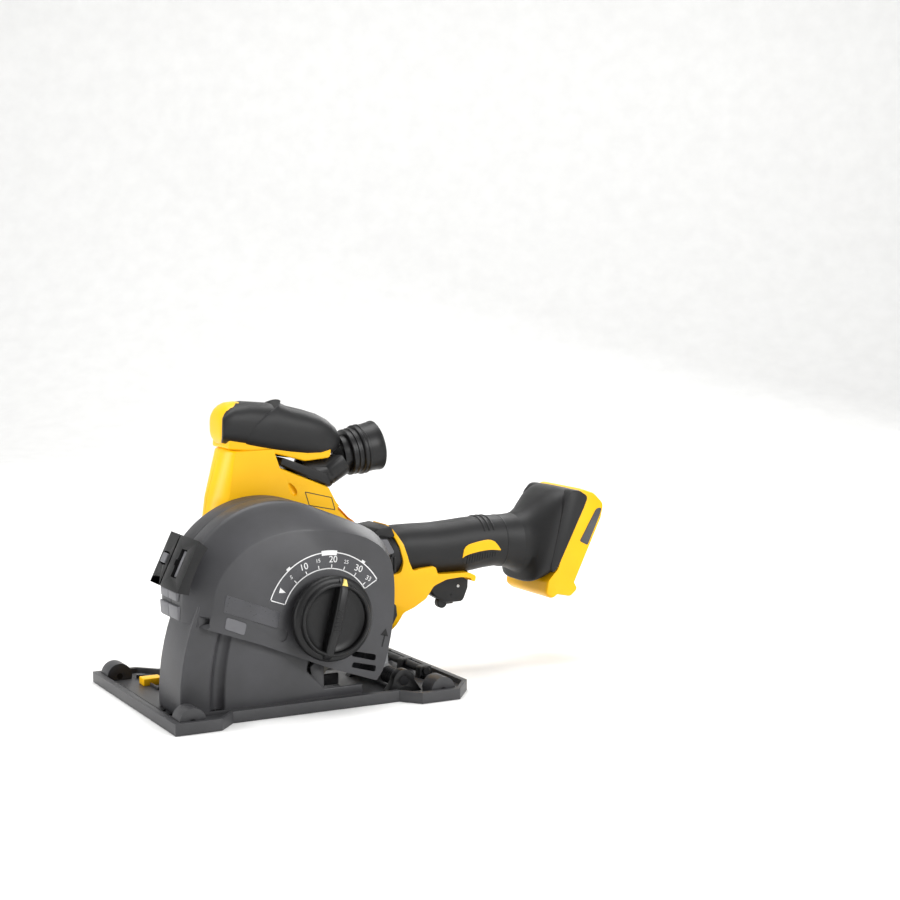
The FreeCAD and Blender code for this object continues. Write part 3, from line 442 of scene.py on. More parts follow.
def row_tree():
    """Copies of a template in a row or on an arc: each copy moves by Step and turns by Turn."""
    tree = bpy.data.node_groups.new("row_of_copies", "GeometryNodeTree")
    face = tree.interface
    face.new_socket("Geometry", in_out="INPUT", socket_type="NodeSocketGeometry")
    face.new_socket("Template", in_out="INPUT", socket_type="NodeSocketObject")
    face.new_socket("Count", in_out="INPUT", socket_type="NodeSocketInt")
    face.new_socket("Step", in_out="INPUT", socket_type="NodeSocketVector")
    face.new_socket("Turn", in_out="INPUT", socket_type="NodeSocketVector")
    face.new_socket("Pivot", in_out="INPUT", socket_type="NodeSocketVector")
    face.new_socket("Finish", in_out="INPUT", socket_type="NodeSocketMaterial")
    face.new_socket("Geometry", in_out="OUTPUT", socket_type="NodeSocketGeometry")

    given = add(tree, "NodeGroupInput")
    line = add(tree, "GeometryNodeMeshLine", {"Offset": (0, 0, 0)}, {"Count": (given, "Count")})
    points = add(tree, "GeometryNodeMeshToPoints", {}, {"Mesh": (line, "Mesh")})
    index = add(tree, "GeometryNodeInputIndex")
    turn = add(tree, "ShaderNodeVectorMath", {"operation": "SCALE"},
                {"Vector": (given, "Turn"), "Scale": (index, "Index")})
    step = add(tree, "ShaderNodeVectorMath", {"operation": "SCALE"},
                {"Vector": (given, "Step"), "Scale": (index, "Index")})
    back = add(tree, "ShaderNodeVectorMath", {"operation": "SCALE", "Scale": -1.0},
                {"Vector": (given, "Pivot")})
    swung = add(tree, "ShaderNodeVectorRotate", {"rotation_type": "EULER_XYZ"},
                 {"Vector": (back, "Vector"), "Rotation": (turn, "Vector")})
    home = add(tree, "ShaderNodeVectorMath", {"operation": "ADD"}, {0: (swung, "Vector")})
    tree.links.new(given.outputs["Pivot"], home.inputs[1])
    moved = add(tree, "ShaderNodeVectorMath", {"operation": "ADD"}, {0: (home, "Vector")})
    tree.links.new(step.outputs["Vector"], moved.inputs[1])
    placed = add(tree, "GeometryNodeSetPosition", {},
                  {"Geometry": (points, "Points"), "Position": (moved, "Vector")})
    template = add(tree, "GeometryNodeObjectInfo", {"transform_space": "ORIGINAL"},
                    {"Object": (given, "Template")})
    copies = add(tree, "GeometryNodeInstanceOnPoints", {},
                  {"Points": (placed, "Geometry"), "Instance": (template, "Geometry"),
                   "Rotation": (turn, "Vector")})
    real = add(tree, "GeometryNodeRealizeInstances", {}, {"Geometry": (copies, "Instances")})
    painted = add(tree, "GeometryNodeSetMaterial", {},
                   {"Geometry": (real, "Geometry"), "Material": (given, "Finish")})
    add(tree, "NodeGroupOutput", {}, {"Geometry": (painted, "Geometry")})
    return tree


ROW = row_tree()


def copies(template, count, material, step=(0, 0, 0), turn=(0, 0, 0), pivot=(0, 0, 0)):
    """Runs the row tree on a template, which it removes; gives one plain mesh object."""
    name = template.name
    template.name = name + "_template"
    holder = bpy.data.objects.new(name + "_row", bpy.data.meshes.new(name + "_row"))
    bpy.context.scene.collection.objects.link(holder)
    modifier = holder.modifiers.new("row", "NODES")
    modifier.node_group = ROW
    values = {"Template": template, "Count": count, "Step": [s * MM for s in step],
              "Turn": [math.radians(t) for t in turn], "Pivot": [p * MM for p in pivot],
              "Finish": material}
    for item in ROW.interface.items_tree:
        if item.in_out == "INPUT" and item.name in values:
            modifier[item.identifier] = values[item.name]
    done = plain_copy(holder, name)
    bpy.data.objects.remove(template)
    return done


def rowed(template, count, material, body, step=(0, 0, 0), turn=(0, 0, 0), pivot=(0, 0, 0),
          bevel_mm=0.0, replaces=()):
    """A finished row of copies that rides on a body."""
    row = copies(template, count, material, step, turn, pivot)
    return finish(row, material, body, replaces, bevel_mm, 2)


# ---------------------------------------------------------------- guard

RIM_CENTRE = (-30, 85)
RIM_RAD = 80
BOTTOM = [(50, 16.5), (8, 31), (-51, 56), (-110, 77)]


def even(points, count):
    """A line resampled to count points spaced evenly along it."""
    points = [Vector(p) for p in points]
    runs = [(b - a).length for a, b in zip(points, points[1:])]
    total = sum(runs)
    found = []
    for i in range(count):
        left = total * i / (count - 1)
        for a, b, run in zip(points, points[1:], runs):
            if left <= run + 1e-9:
                found.append(a.lerp(b, left / run if run else 0))
                break
            left -= run
        else:
            found.append(points[-1])
    return found


def curved(points, count, rounds=3):
    """A smooth line through the corners of a polyline, by cutting the corners rounds times."""
    points = [Vector(p) for p in points]
    for _ in range(rounds):
        fresh = [points[0]]
        for a, b in zip(points, points[1:]):
            fresh += [a.lerp(b, 0.25), a.lerp(b, 0.75)]
        points = fresh + [points[-1]]
    return even(points, count)


def rim_line(inset=0.0):
    """The guard's rim in side view, from its front foot over the top to its rear foot."""
    front = even([(-110 + inset, 77), (-109.6 + inset, 92)], 4)
    top = [Vector(p) for p in arc(RIM_CENTRE, RIM_RAD - inset, 174, 66, 44)]
    rear = curved([(2.5, 158.1 - inset), (30, 147 - inset), (53, 137.5 - inset),
                   (66 - inset, 124), (71 - inset, 104), (69 - inset, 66), (59 - inset, 24),
                   (50, 16.5)], 36)
    return front + top[1:] + rear[1:]


def plateau_line():
    """The raised near face inside the broad bevel, matched point for point to the rim."""
    front = even([(-94, 72), (-88.5, 86)], 4)
    top = curved([(-88.5, 86), (-86, 104), (-74, 121), (-54, 135), (-24, 142.5), (8, 141)],
                 44, 2)
    rear = curved([(8, 141), (34, 136), (52, 127), (62, 115), (66, 98), (65, 64), (56, 25),
                   (49, 17)], 36)
    return front + top[1:] + rear[1:]


def open_shell(name, lines, cap_bottom):
    """A shell through open lines, closed by a cap along the last line; its foot stays open."""
    rings = [upright(line, y) for y, line in lines]
    count = len(rings[0])
    vertices = [v for ring in rings for v in ring]
    faces = []
    for layer in range(len(rings) - 1):
        for i in range(count - 1):
            a, b = layer * count, (layer + 1) * count
            faces.append((a + i, a + i + 1, b + i + 1, b + i))
    base = len(vertices)
    vertices += upright(cap_bottom, lines[-1][0])
    last = (len(rings) - 1) * count
    faces.append(tuple(range(last, last + count)) + tuple(range(base, base + len(cap_bottom))))
    obj = raw(name, vertices, faces)
    wall = obj.modifiers.new("wall", "SOLIDIFY")
    wall.thickness = 2.4 * MM
    wall.offset = -1
    return obj


def guard_cover():
    """The removable near half: flat rim, broad bevel, plateau with vents, panels and a dimple."""
    rim, face = rim_line(), plateau_line()
    bevel = ((SEAM - 0.2, 0.012), (SEAM - 0.9, 0.0), (-55.5, 0.0), (-57.5, 0.02),
             (-59.5, 0.09), (-63, 0.28), (-67, 0.52), (-70.5, 0.74), (-73.2, 0.93),
             (COVER_FACE, 1.0))
    lines = [(y, mixed(rim, face, share)) for y, share in bevel]
    shell = open_shell("guard_cover_shell", lines, [(8, 31.4), (-51, 56.4)])
    cuts = []
    for low in (24.0, 33.0):
        slot = rounded([(27, low + 6, 1.5), (28.5, low + 10, 1.5), (49, low + 5, 2),
                        (48, low, 2)])
        cuts.append(slab("vent_slot", slot, COVER_FACE - 5, COVER_FACE + 8))
    panel = rounded([(-55, 70, 2), (-57, 76, 3), (-27, 64.5, 3), (-29, 57.5, 3), (-33, 56.5, 3)])
    cuts.append(slab("panel_recess", panel, COVER_FACE - 3, COVER_FACE + 0.7))
    cuts.append(block("dimple", (-96, -71.6, 77.5), (6.5, 9, 8), (0, 38, 45)))
    finish(shell, GUARD, "tool", ("guard_cover",), cuts=cuts, angle=28)
    badge = slab("blank_badge", rounded([(-80, 71.5, 2.2), (-78.5, 80.5, 2.2), (-62, 73.8, 2.2),
                                         (-64, 64.6, 2.2)]), COVER_FACE - 0.7, COVER_FACE + 0.5)
    finish(badge, LUG, "tool", bevel_mm=0.35)
    plate = slab("blank_name_plate", rounded([(-81, 84.5, 1.5), (-78.5, 97.5, 1.5),
                                              (-34, 80, 1.5), (-36.5, 67.5, 1.5)]),
                 COVER_FACE - 0.4, COVER_FACE + 0.5)
    finish(plate, LABEL, "tool", bevel_mm=0.2)
    arrow = (("arrow_shaft", [(53.4, 44), (56.0, 53.5), (57.2, 53.0), (54.6, 43.6)]),
             ("arrow_head", [(52.6, 53.5), (57.6, 58.5), (59.5, 51.6)]))
    for name, points in arrow:
        mark = slab(name, rounded(points), COVER_FACE - 0.15, COVER_FACE + 0.3)
        finish(mark, BLACK, "tool")


def upper_guard():
    """The far half: the same rim, carried to the gearcase side."""
    rim = rim_line()
    inner = rim_line(3.0)
    steps = ((SEAM + 0.3, 0.1), (SEAM + 1.1, 0.0), (GUARD_BACK - 3, 0.0),
             (GUARD_BACK - 1.4, 0.12), (GUARD_BACK - 0.4, 0.45), (GUARD_BACK, 1.0))
    lines = [(y, mixed(rim, inner, share)) for y, share in steps]
    shell = open_shell("upper_guard_shell", lines, [(8, 31.4), (-51, 56.4)])
    bore = turned("bore", [(0, -15), (17, -15), (17, 15), (0, 15)],
                  (-28, GUARD_BACK, 70), (0, 1, 0))
    mouth = block("mouth", (-27, GUARD_BACK, 129), (53, 12, 32))
    finish(shell, GUARD, "tool", ("upper_guard",), cuts=(bore, mouth), angle=28)


def rim_lugs():
    """Light lugs in pairs either side of the seam, below the latch."""
    for side, sign in (("near", -1), ("far", 1)):
        for name, x, z, high, wide in (("upper", -109.3, 95.8, 7.0, 17.0),
                                       ("lower", -109.2, 83.4, 10.5, 19.0)):
            middle = SEAM + sign * (wide / 2 + 0.25)
            lug = block("rim_lug_%s_%s" % (name, side), (x, middle, z), (5.0, wide, high),
                        (0, -3, 0))
            finish(lug, LUG, "tool", bevel_mm=0.8)


def lower_guard():
    """The fixed guard: the CAD's walls with the vertical groove behind its front strip."""
    pivot_x, pivot_z, sweep, groove_behind = 74.0, 13.6, 188.5, 24.0
    levels = [7.0 + 82.0 * i / 12 for i in range(13)]
    opening, channel = [], []
    for z in levels:
        front = pivot_x - math.sqrt(sweep ** 2 - (z - pivot_z) ** 2) + groove_behind
        plan = [(0, LOWER_NEAR - 1), (0, LOWER_NEAR + 4), (12, LOWER_NEAR + 4),
                (12, LOWER_NEAR - 1)]
        opening.append([Vector((front + x, y, z)) for x, y in plan])
        flute = [(-1.2, 0.5), (0.2, 0.4), (1.6, 1.8), (3.4, 4.0), (6.0, 5.0), (8.6, 4.4),
                 (10.8, 2.4), (12.0, 0.5), (13.2, 0.5)]
        back = [(13.2, 2.3), (11.6, 3.6), (9.4, 6.1), (6.0, 6.8), (2.6, 5.8), (0.6, 3.6),
                (-1.2, 2.3)]
        channel.append([Vector((front + x, LOWER_NEAR + y, z)) for x, y in flute + back])
    softened("lower_guard", "shoe", GUARD, 1.1, 3, (stacked("opening", opening),))
    finish(stacked("lower_guard_flute", channel), GUARD, "shoe", angle=40)
    rib = slab("lower_guard_foot", rounded([(-110, 4.5), (-110, 7.2, 1), (38, 7.2, 1),
                                            (38, 4.5)]), LOWER_NEAR - 1.6, LOWER_NEAR + 0.4)
    finish(rib, SHOE, "shoe", bevel_mm=0.5)


# ---------------------------------------------------------------- shoe

def shoe():
    """The tray: bevelled lip, ladder ribs on the front bar, floor ribs and screws."""
    softened("shoe_plate", "shoe", SHOE, 1.0, 3)
    softened("roller_covers", "shoe", SHOE, 1.2, 3)
    rung = block("front_ladder", (-123.2, -66, 5.6), (3.6, 1.5, 2.4))
    rowed(rung, 9, SHOE, "shoe", step=(0, 4.6, 0), bevel_mm=0.35)
    rung = block("front_ladder_far", (-123.2, 22, 5.6), (3.6, 1.5, 2.4))
    rowed(rung, 10, SHOE, "shoe", step=(0, 4.6, 0), bevel_mm=0.35)
    rail = slab("front_rail", rounded([(-121.4, 4.4), (-121.4, 6.6, 0.5), (-120.4, 6.6, 0.5),
                                       (-120.4, 4.4)]), -70, 66)
    finish(rail, SHOE, "shoe", bevel_mm=0.3)
    for number, (x, y, long, wide) in enumerate((
            (-70, 66, 60, 1.6), (10, 40, 70, 1.6), (60, 30, 44, 1.6),
            (96, -10, 20, 1.6), (96, 30, 20, 1.6))):
        rib = block("floor_rib_%d" % number, (x, y, 5.0), (long, wide, 1.2))
        finish(rib, SHOE, "shoe", bevel_mm=0.4)
    for number, (x, y, long) in enumerate(((-98, 45, 34), (84, -60, 18), (84, 60, 18))):
        rib = block("cross_rib_%d" % number, (x, y, 5.7), (1.6, long, 2.6))
        finish(rib, SHOE, "shoe", bevel_mm=0.4)
    rod_end = turned("rear_rod", [(0, 0), (3.0, 0), (3.4, 0.5), (3.4, 88), (3.0, 88.5), (0, 88.5)],
                     (113, -40, 10.5), (0, 1, 0), 32)
    finish(rod_end, BLACK, "shoe")
    for y in (-34, 0, 40):
        clip = slab("rod_clip_%d" % (y + 40), rounded([(107, 4.5), (108, 14, 2), (118, 14.4, 2),
                                                       (119, 4.5)]), y - 4, y + 4)
        finish(clip, BLACK, "shoe", bevel_mm=0.6)
    softened("cut_indicator", "shoe", BLACK, 0.4)
    softened("parking_catch", "shoe", YELLOW, 0.5)
    softened("depth_stop", "shoe", SHOE, 0.7)
    softened("pivot_brackets", "shoe", BLACK, 0.8)


def coil_spring():
    """The plunge return spring: round wire wound about the pivot shaft."""
    low, high = node_mm("return_spring")
    centre_x, centre_z = (low.x + high.x) / 2, (low.z + high.z) / 2
    curve = bpy.data.curves.new("spring_wire", "CURVE")
    curve.dimensions = "3D"
    curve.bevel_depth = 1.0 * MM
    curve.bevel_resolution = 3
    curve.use_fill_caps = True
    spline = curve.splines.new("POLY")
    turns, steps = 9, 20
    spline.points.add(turns * steps)
    for i, point in enumerate(spline.points):
        a = 2 * math.pi * i / steps
        y = low.y + 1 + (high.y - low.y - 2) * i / (turns * steps)
        place = Vector((centre_x + 6.1 * math.cos(a), y, centre_z + 6.1 * math.sin(a))) * MM
        point.co = (*place, 1)
    obj = bpy.data.objects.new("plunge_spring", curve)
    bpy.context.scene.collection.objects.link(obj)
    finish(obj, DARK_STEEL, "shoe", ("return_spring",), angle=60)


# ---------------------------------------------------------------- latch

LATCH_LOW = Vector((-119, 0, 103))
LATCH_HIGH = Vector((-101, 0, 141))
LATCH_RUN = (LATCH_HIGH - LATCH_LOW).normalized()
LATCH_OUT = Vector((-LATCH_RUN.z, 0, LATCH_RUN.x))
LATCH_MIDDLE = (LATCH_LOW + LATCH_HIGH) / 2


def on_latch(along, y, out):
    """A point in the latch's own frame: along its face, across the seam, and out of the face."""
    return LATCH_MIDDLE + LATCH_RUN * along + LATCH_OUT * out + Vector((0, y, 0))


def latch_plate(name, outline, low, high):
    """A plate on the latch's face from an outline of (across, along) points."""
    points = [Vector(p) for p in outline]
    return stacked(name, [[on_latch(p[1], p[0], depth) for p in points] for depth in (low, high)])


def latch():
    """The cover latch: a base with a push pad, and a hook whose window shows two catch bars."""
    pad_y = (node_mm("latch_button")[0].y + node_mm("latch_button")[1].y) / 2
    well = latch_plate("well", rounded([(pad_y - 6.4, -5.2, 2.5), (pad_y + 6.4, -5.2, 2.5),
                                        (pad_y + 6.4, 5.2, 2.5), (pad_y - 6.4, 5.2, 2.5)]), -6, 3)
    softened("latch_base", "tool", BLACK, 1.4, 3, (well,))
    face = latch_plate("latch_push_pad", rounded(
        [(pad_y - 5.0, -3.9, 1.8), (pad_y + 5.0, -3.9, 1.8), (pad_y + 5.0, 3.9, 1.8),
         (pad_y - 5.0, 3.9, 1.8)]), -2.6, 1.3)
    finish(face, LUG, "latch_button", ("latch_button",), bevel_mm=0.9)
    middle = -58.0
    window = latch_plate("window", rounded([(middle - 5.6, -11.5, 0.8), (middle + 5.6, -11.5, 0.8),
                                            (middle + 5.6, 11.5, 0.8), (middle - 5.6, 11.5, 0.8)]),
                         -16, 3)
    notch = latch_plate("notch", rounded([(middle + 4, -2.4, 0.4), (middle + 8.6, -2.4, 0.4),
                                          (middle + 8.6, 2.4, 0.4), (middle + 4, 2.4, 0.4)]),
                        -3, 3)
    softened("latch_hook", "latch_hook", BLACK, 1.4, 3, (window, notch))
    plug = latch_plate("latch_window_floor", rounded(
        [(middle - 6.4, -12.4), (middle + 6.4, -12.4), (middle + 6.4, 12.4),
         (middle - 6.4, 12.4)]), -9.6, -7.2)
    finish(plug, BLACK, "latch_hook")
    for number, across in enumerate((-2.9, 2.9)):
        bar = latch_plate("catch_bar_%d" % number, rounded(
            [(middle + across - 2.1, -10.6, 0.5), (middle + across + 2.1, -10.6, 0.5),
             (middle + across + 2.1, 10.6, 0.5), (middle + across - 2.1, 10.6, 0.5)]), -7.2, -2.4)
        finish(bar, LUG, "latch_hook", ("latch_catch",) if number == 0 else (), bevel_mm=0.5)


# ---------------------------------------------------------------- depth dial and its scale

DIAL_COLLAR = 5.1
BAR_TURN = math.radians(76)


def round_the_dial(radius, degrees):
    a = math.radians(degrees)
    return DIAL_X + radius * math.cos(a), DIAL_Z + radius * math.sin(a)


def band(name, inner, outer, start, end, y_near, y_far, material, steps=48):
    """A flat strip of the dial's scale between two radii."""
    turns = [start + (end - start) * i / steps for i in range(steps + 1)]
    outline = [round_the_dial(outer, a) for a in turns]
    outline += [round_the_dial(inner, a) for a in reversed(turns)]
    return finish(slab(name, outline, y_near, y_far), material, "tool")


def number(text, radius, degrees, high_mm):
    curve = bpy.data.curves.new("numeral_" + text, "FONT")
    curve.body = text
    curve.size = high_mm * MM
    curve.extrude = 0.08 * MM
    curve.align_x = "CENTER"
    curve.align_y = "CENTER"
    obj = bpy.data.objects.new("numeral_" + text, curve)
    bpy.context.scene.collection.objects.link(obj)
    x, z = round_the_dial(radius, degrees)
    lean = Matrix.Rotation(math.radians((degrees - 90) * 0.55), 4, "Z")
    obj.matrix_world = Matrix.Translation(Vector((x, COVER_FACE - 0.14, z)) * MM) @ SIDE_TURN @ lean
    finish(obj, WHITE, "tool")


def dial_scale():
    near, far = COVER_FACE - 0.22, COVER_FACE + 0.2
    line = 0.85
    band("scale_field", 37.6, 51.2, 30, 161, COVER_FACE - 0.1, far, LABEL)
    band("scale_outer_line", 51.2 - line, 51.2, 30, 161, near, far, WHITE)
    band("scale_inner_line", 37.6, 37.6 + line, 30, 161, near, far, WHITE)
    band("scale_end_high", 37.6, 51.2, 30, 30.9, near, far, WHITE, 2)
    band("scale_end_low", 37.6, 51.2, 160.1, 161, near, far, WHITE, 2)
    band("scale_tab_top", 48.6, 52.4, 80, 95, near - 0.05, far, WHITE, 10)
    band("scale_tab_right", 50.4, 52.8, 50.5, 54, near - 0.05, far, WHITE, 4)
    band("scale_tab_left", 50.4, 52.8, 127, 131, near - 0.05, far, WHITE, 4)
    tick = block("scale_tick", (DIAL_X + 39.6, (near + far) / 2, DIAL_Z), (3.4, 0.42, 0.75))
    row = copies(tick, 7, WHITE, turn=(0, -16.0, 0), pivot=(DIAL_X, 0, DIAL_Z))
    row.data.transform(Matrix.Translation(Vector((DIAL_X, 0, DIAL_Z)) * MM)
                       @ Matrix.Rotation(math.radians(-36), 4, "Y")
                       @ Matrix.Translation(Vector((-DIAL_X, 0, -DIAL_Z)) * MM))
    finish(row, WHITE, "tool")
    for text, degrees, high in (("5", 132, 4.2), ("10", 115.6, 7.4), ("15", 99.5, 4.2),
                                ("20", 83, 7.4), ("25", 68, 4.2), ("30", 52.5, 7.4),
                                ("33", 37, 5.2)):
        number(text, 45.2, degrees, high)
    marker = rounded([round_the_dial(41.5, 148), round_the_dial(47.5, 146.5),
                      round_the_dial(46.5, 151.5)])
    finish(slab("park_marker", marker, near, far), WHITE, "tool")


def depth_dial():
    """A knob with a stepped skirt, a rolled inner ring and a grip bar set between 20 and 25."""
    rad = DIAL_RAD
    seat = DIAL_HIGH.y - DIAL_COLLAR
    profile = [(0, 0), (rad - 0.6, 0), (rad, 0.8), (rad, 4.5), (rad - 0.7, 6.2),
               (rad - 2.6, 7.6), (rad - 4.6, 7.9), (rad - 5.0, 8.8), (rad - 5.2, 11.4),
               (rad - 6.0, 12.4), (rad - 7.2, 12.4), (rad - 8.0, 11.4), (rad - 8.2, 7.0),
               (rad - 10.0, 5.6), (rad - 14, 5.0), (0, 4.8)]
    knob = turned("dial_knob", profile, (DIAL_X, seat, DIAL_Z), (0, -1, 0), 96)
    finish(knob, BLACK, "depth_dial", ("depth_dial",), angle=34)
    reach = rad - 1.2
    sections = ((-reach, 5.2, 5.4), (-reach + 1.2, 6.6, 9.2), (-reach + 5, 7.4, 12.6),
                (-10, 7.8, 15.4), (8, 7.6, 15.6), (reach - 9, 7.6, 14.6), (reach - 3, 7.4, 11.0),
                (reach - 0.4, 6.6, 7.4), (reach, 5.2, 5.4))
    rings = []
    for along, wide, high in sections:
        corners = [(-wide / 2 - 0.5, 3.0), (-wide / 2, high - 1.4), (-wide / 2 + 1.2, high),
                   (wide / 2 - 1.2, high), (wide / 2, high - 1.4), (wide / 2 + 0.5, 3.0)]
        rings.append([Vector((along, -up, across)) for across, up in corners])
    bar = stacked("dial_grip_bar", rings)
    spin = Matrix.Rotation(-BAR_TURN, 4, "Y")
    shift = Matrix.Translation(Vector((DIAL_X, seat, DIAL_Z)) * MM)
    bar.data.transform(shift @ spin)
    finish(bar, BLACK, "depth_dial", bevel_mm=0.6)
    groove = block("bar_rib", (-8, -15.7, 0), (0.9, 0.9, 4.6))
    groove.data.transform(spin)
    row = copies(groove, 6, BLACK,
                 step=(3.2 * math.cos(BAR_TURN), 0, 3.2 * math.sin(BAR_TURN)))
    row.data.transform(shift)
    finish(row, BLACK, "depth_dial", bevel_mm=0.2)
    tip = [round_the_dial(34.0 - 1.6, 76), round_the_dial(27.6, 70.8), round_the_dial(27.6, 81.2)]
    pointer = slab("dial_pointer", rounded(tip), seat - 12.8, seat - 7.0)
    finish(pointer, MARK, "depth_dial", bevel_mm=0.2)


# ---------------------------------------------------------------- duct and top grip

DUCT_OUTER = [(-66, 99.5, 2), (-67, 134, 30), (-63, 162, 30), (-52, 202, 3), (-12, 202, 3),
              (-6, 186, 3), (37, 168, 2), (44, 155, 4), (64, 134, 3), (63, 130.6, 1.5),
              (30, 125.4, 20), (8, 119, 20), (-14, 105, 12), (-31, 99.5, 3)]
DUCT_FACE = [(-50, 101, 2), (-51.5, 134, 30), (-51.5, 162, 30), (-46, 200, 3), (-13, 200.6, 3),
             (-7.4, 184.6, 3), (35.6, 166.6, 2), (42.4, 154.2, 4), (62, 133.4, 2), (61, 131.8, 1),
             (30, 127, 20), (7, 120.6, 20), (-15, 106.6, 12), (-31, 101, 3)]


def duct():
    """The dust duct: two clamshell halves with a rolled front and a crease behind it."""
    outer, face = rounded(DUCT_OUTER), rounded(DUCT_FACE)
    roll = ((0, 1.0), (0.35, 0.93), (1.3, 0.8), (3.2, 0.6), (6, 0.38), (9.5, 0.18), (13, 0.06),
            (17, 0.0))
    for name, side, middle, sign in (("duct_near", DUCT_NEAR, MID - 0.12, 1),
                                     ("duct_far", DUCT_FAR, MID + 0.12, -1)):
        rings = [upright(mixed(outer, face, share), side + sign * depth) for depth, share in roll]
        rings.append(upright(outer, middle - sign * 0.5))
        rings.append(upright(mixed(outer, face, 0.05), middle))
        half = stacked(name + "_shell", rings)
        dent = turned("dent", [(0, -6.5), (1.6, -4.5), (2.6, -1), (2.9, 2), (2.2, 5), (0, 6.5)],
                      (3.2, side, 167.5), (0.52, 0, -0.85), 24)
        eye = rounded([(42.5, 149.5, 2.4), (46, 152.6, 2.4), (59.5, 138.4, 2.4), (56.5, 135.6, 2.4)])
        cuts = (dent, slab("eye", eye, side - 2, side + sign * 30),
                block("hollow", (-27, GUARD_BACK - 1, 129), (50, 9, 29)))
        finish(half, YELLOW, "tool", (name,), cuts=cuts, angle=24)
    frame_points = [(14.5, 164.6), (38, 158.6), (41, 148.4), (18, 153.4)]
    for i, start in enumerate(frame_points):
        a, b = Vector(start), Vector(frame_points[(i + 1) % 4])
        across = Vector((-(b - a).y, (b - a).x)).normalized() * 0.35
        outline = [a - across, b - across, b + across, a + across]
        strip = slab("sticker_edge_%d" % i, outline, DUCT_NEAR - 0.12, DUCT_NEAR + 0.2)
        finish(strip, INK, "tool")


CORE_OUTER = [(-50, 214, 6), (-46, 228, 8), (-20, 229, 6), (26, 217, 6), (40, 205, 5),
              (38.5, 191.2, 4), (16, 189.4, 8), (-10, 196.6, 10), (-51, 202.2, 2)]


def top_grip():
    """The front grip: a yellow nose and sole, under a rubber sleeve and palm swell."""
    middle = (GRIP_NEAR + GRIP_FAR) / 2
    sole = slab("top_grip_sole", rounded(CORE_OUTER), middle - 17.6, middle + 17.6)
    finish(sole, YELLOW, "tool", ("top_grip_core",), bevel_mm=2.2, segments=4, angle=40)
    nose = ((-55.4, 214.0, 224.5, 7.0), (-55.0, 210.6, 228.0, 11.6), (-53.9, 207.4, 231.4, 15.0),
            (-51.9, 205.4, 234.2, 17.4), (-49.0, 204.2, 236.6, 19.2), (-45.0, 203.2, 238.4, 20.0),
            (-38.0, 202.6, 239.0, 20.2), (-28.0, 202.0, 237.4, 18.5))
    rings = [oval(x, middle, (low + high) / 2, half, (high - low) / 2, 2.6, 56)
             for x, low, high, half in nose]
    finish(stacked("top_grip_nose", rings), YELLOW, "tool", angle=50)
    # front sleeve: along X, then low and high edges and half width; the nose ring leans back
    sleeve = ((-56.6, 207.4, 232.4, 19.0), (-56.3, 206.4, 234.2, 20.6), (-54, 205.6, 236.4, 21.4),
              (-48, 204.0, 238.6, 21.7), (-32, 200.6, 239.0, 21.6), (-10, 195.6, 237.0, 21.0))
    rings = []
    for x, low, high, half in sleeve:
        ring = oval(x, middle, (low + high) / 2, half, (high - low) / 2, 2.7, 56)
        lead = max(0.0, 1.0 - (x + 57.0) / 22)
        for v in ring:
            v.x += lead * (14.0 * max(0.0, (v.y - GRIP_NEAR) / 44) ** 1.2
                           + 9.0 * max(0.0, (v.z - 226) / 12) ** 1.3)
        rings.append(ring)
    finish(stacked("top_grip_sleeve", rings), RUBBER, "tool", bevel_mm=0.5, angle=45)
    palm = ((-32.6, 201.0, 239.0, 20.9), (-32.2, 200.4, 239.2, 21.6), (-30, 199.6, 239.3, 21.95),
            (-12, 194.8, 237.9, 22.0), (4, 191.9, 234.6, 22.0), (18, 190.4, 231.0, 22.0),
            (30, 190.4, 227.2, 21.4), (39, 191.4, 222.6, 19.4), (46, 194.4, 216.8, 15.6),
            (50.2, 198.2, 211.4, 10.6), (52.0, 201.6, 207.6, 5.5))
    rings = []
    for x, low, high, half in palm:
        ring = oval(x, middle, (low + high) / 2, half, (high - low) / 2, 2.6, 56)
        lead = max(0.0, 1.0 - (x + 32.6) / 30)
        for v in ring:
            v.x += lead * (15.0 * max(0.0, (v.z - 210) / 17) ** 1.6 - 3.5)
        rings.append(ring)
    hole = turned("hole", [(0, 0), (2.9, 0), (2.9, 12), (0, 12)], (30, middle + 3, 220),
                  (0.12, 0, 1), 32)
    finish(stacked("top_grip_palm", rings), RUBBER, "tool", ("top_grip_pad",), bevel_mm=0.5,
           cuts=(hole,), angle=45)
    screw = turned("grip_screw", [(0, 0), (2.5, 0), (2.7, 0.4), (2.7, 2), (0, 2)],
                   (30, middle + 3, 221), (0.12, 0, 1), 32)
    socket = block("socket", (30.3, middle + 3, 223.2), (2.2, 2.2, 2.0))
    finish(screw, DARK_STEEL, "tool", cuts=(socket,))


# ---------------------------------------------------------------- dust port

def dust_port():
    """The black elbow and the collar that turns on it, with its rolled rings."""
    softened("dust_elbow", "tool", BLACK, 0.8)
    base = slab("elbow_skirt", rounded([(-6, 188, 1), (-4, 193.5, 2), (36, 178, 3), (39, 168.6, 1),
                                        (36.8, 168.2, 1)]), MID - 17, MID + 17)
    finish(base, BLACK, "tool", bevel_mm=2.0, segments=4)
    profile = [(15.25, 34.0), (19.0, 34.0), (19.4, 34.6), (19.4, 36.4), (18.6, 37.0),
               (18.6, 38.6), (19.6, 39.2), (19.6, 41.0), (18.9, 41.6), (18.9, 43.0),
               (20.6, 43.8), (20.9, 44.4), (20.9, 45.6), (20.2, 46.2), (20.2, 47.4),
               (20.9, 48.0), (20.9, 49.2), (20.1, 49.8), (20.3, 56.0), (20.7, 60.6),
               (21.0, 61.2), (21.0, 62.6), (20.4, 63.0), (18.1, 63.0), (17.5, 62.4),
               (17.5, 47.5), (15.25, 47.5), (15.25, 34.0)]
    finish(turned("dust_collar_moulding", profile, PORT_FROM, PORT_AXIS, 96), BLACK,
           "dust_collar", ("dust_collar",), angle=30)


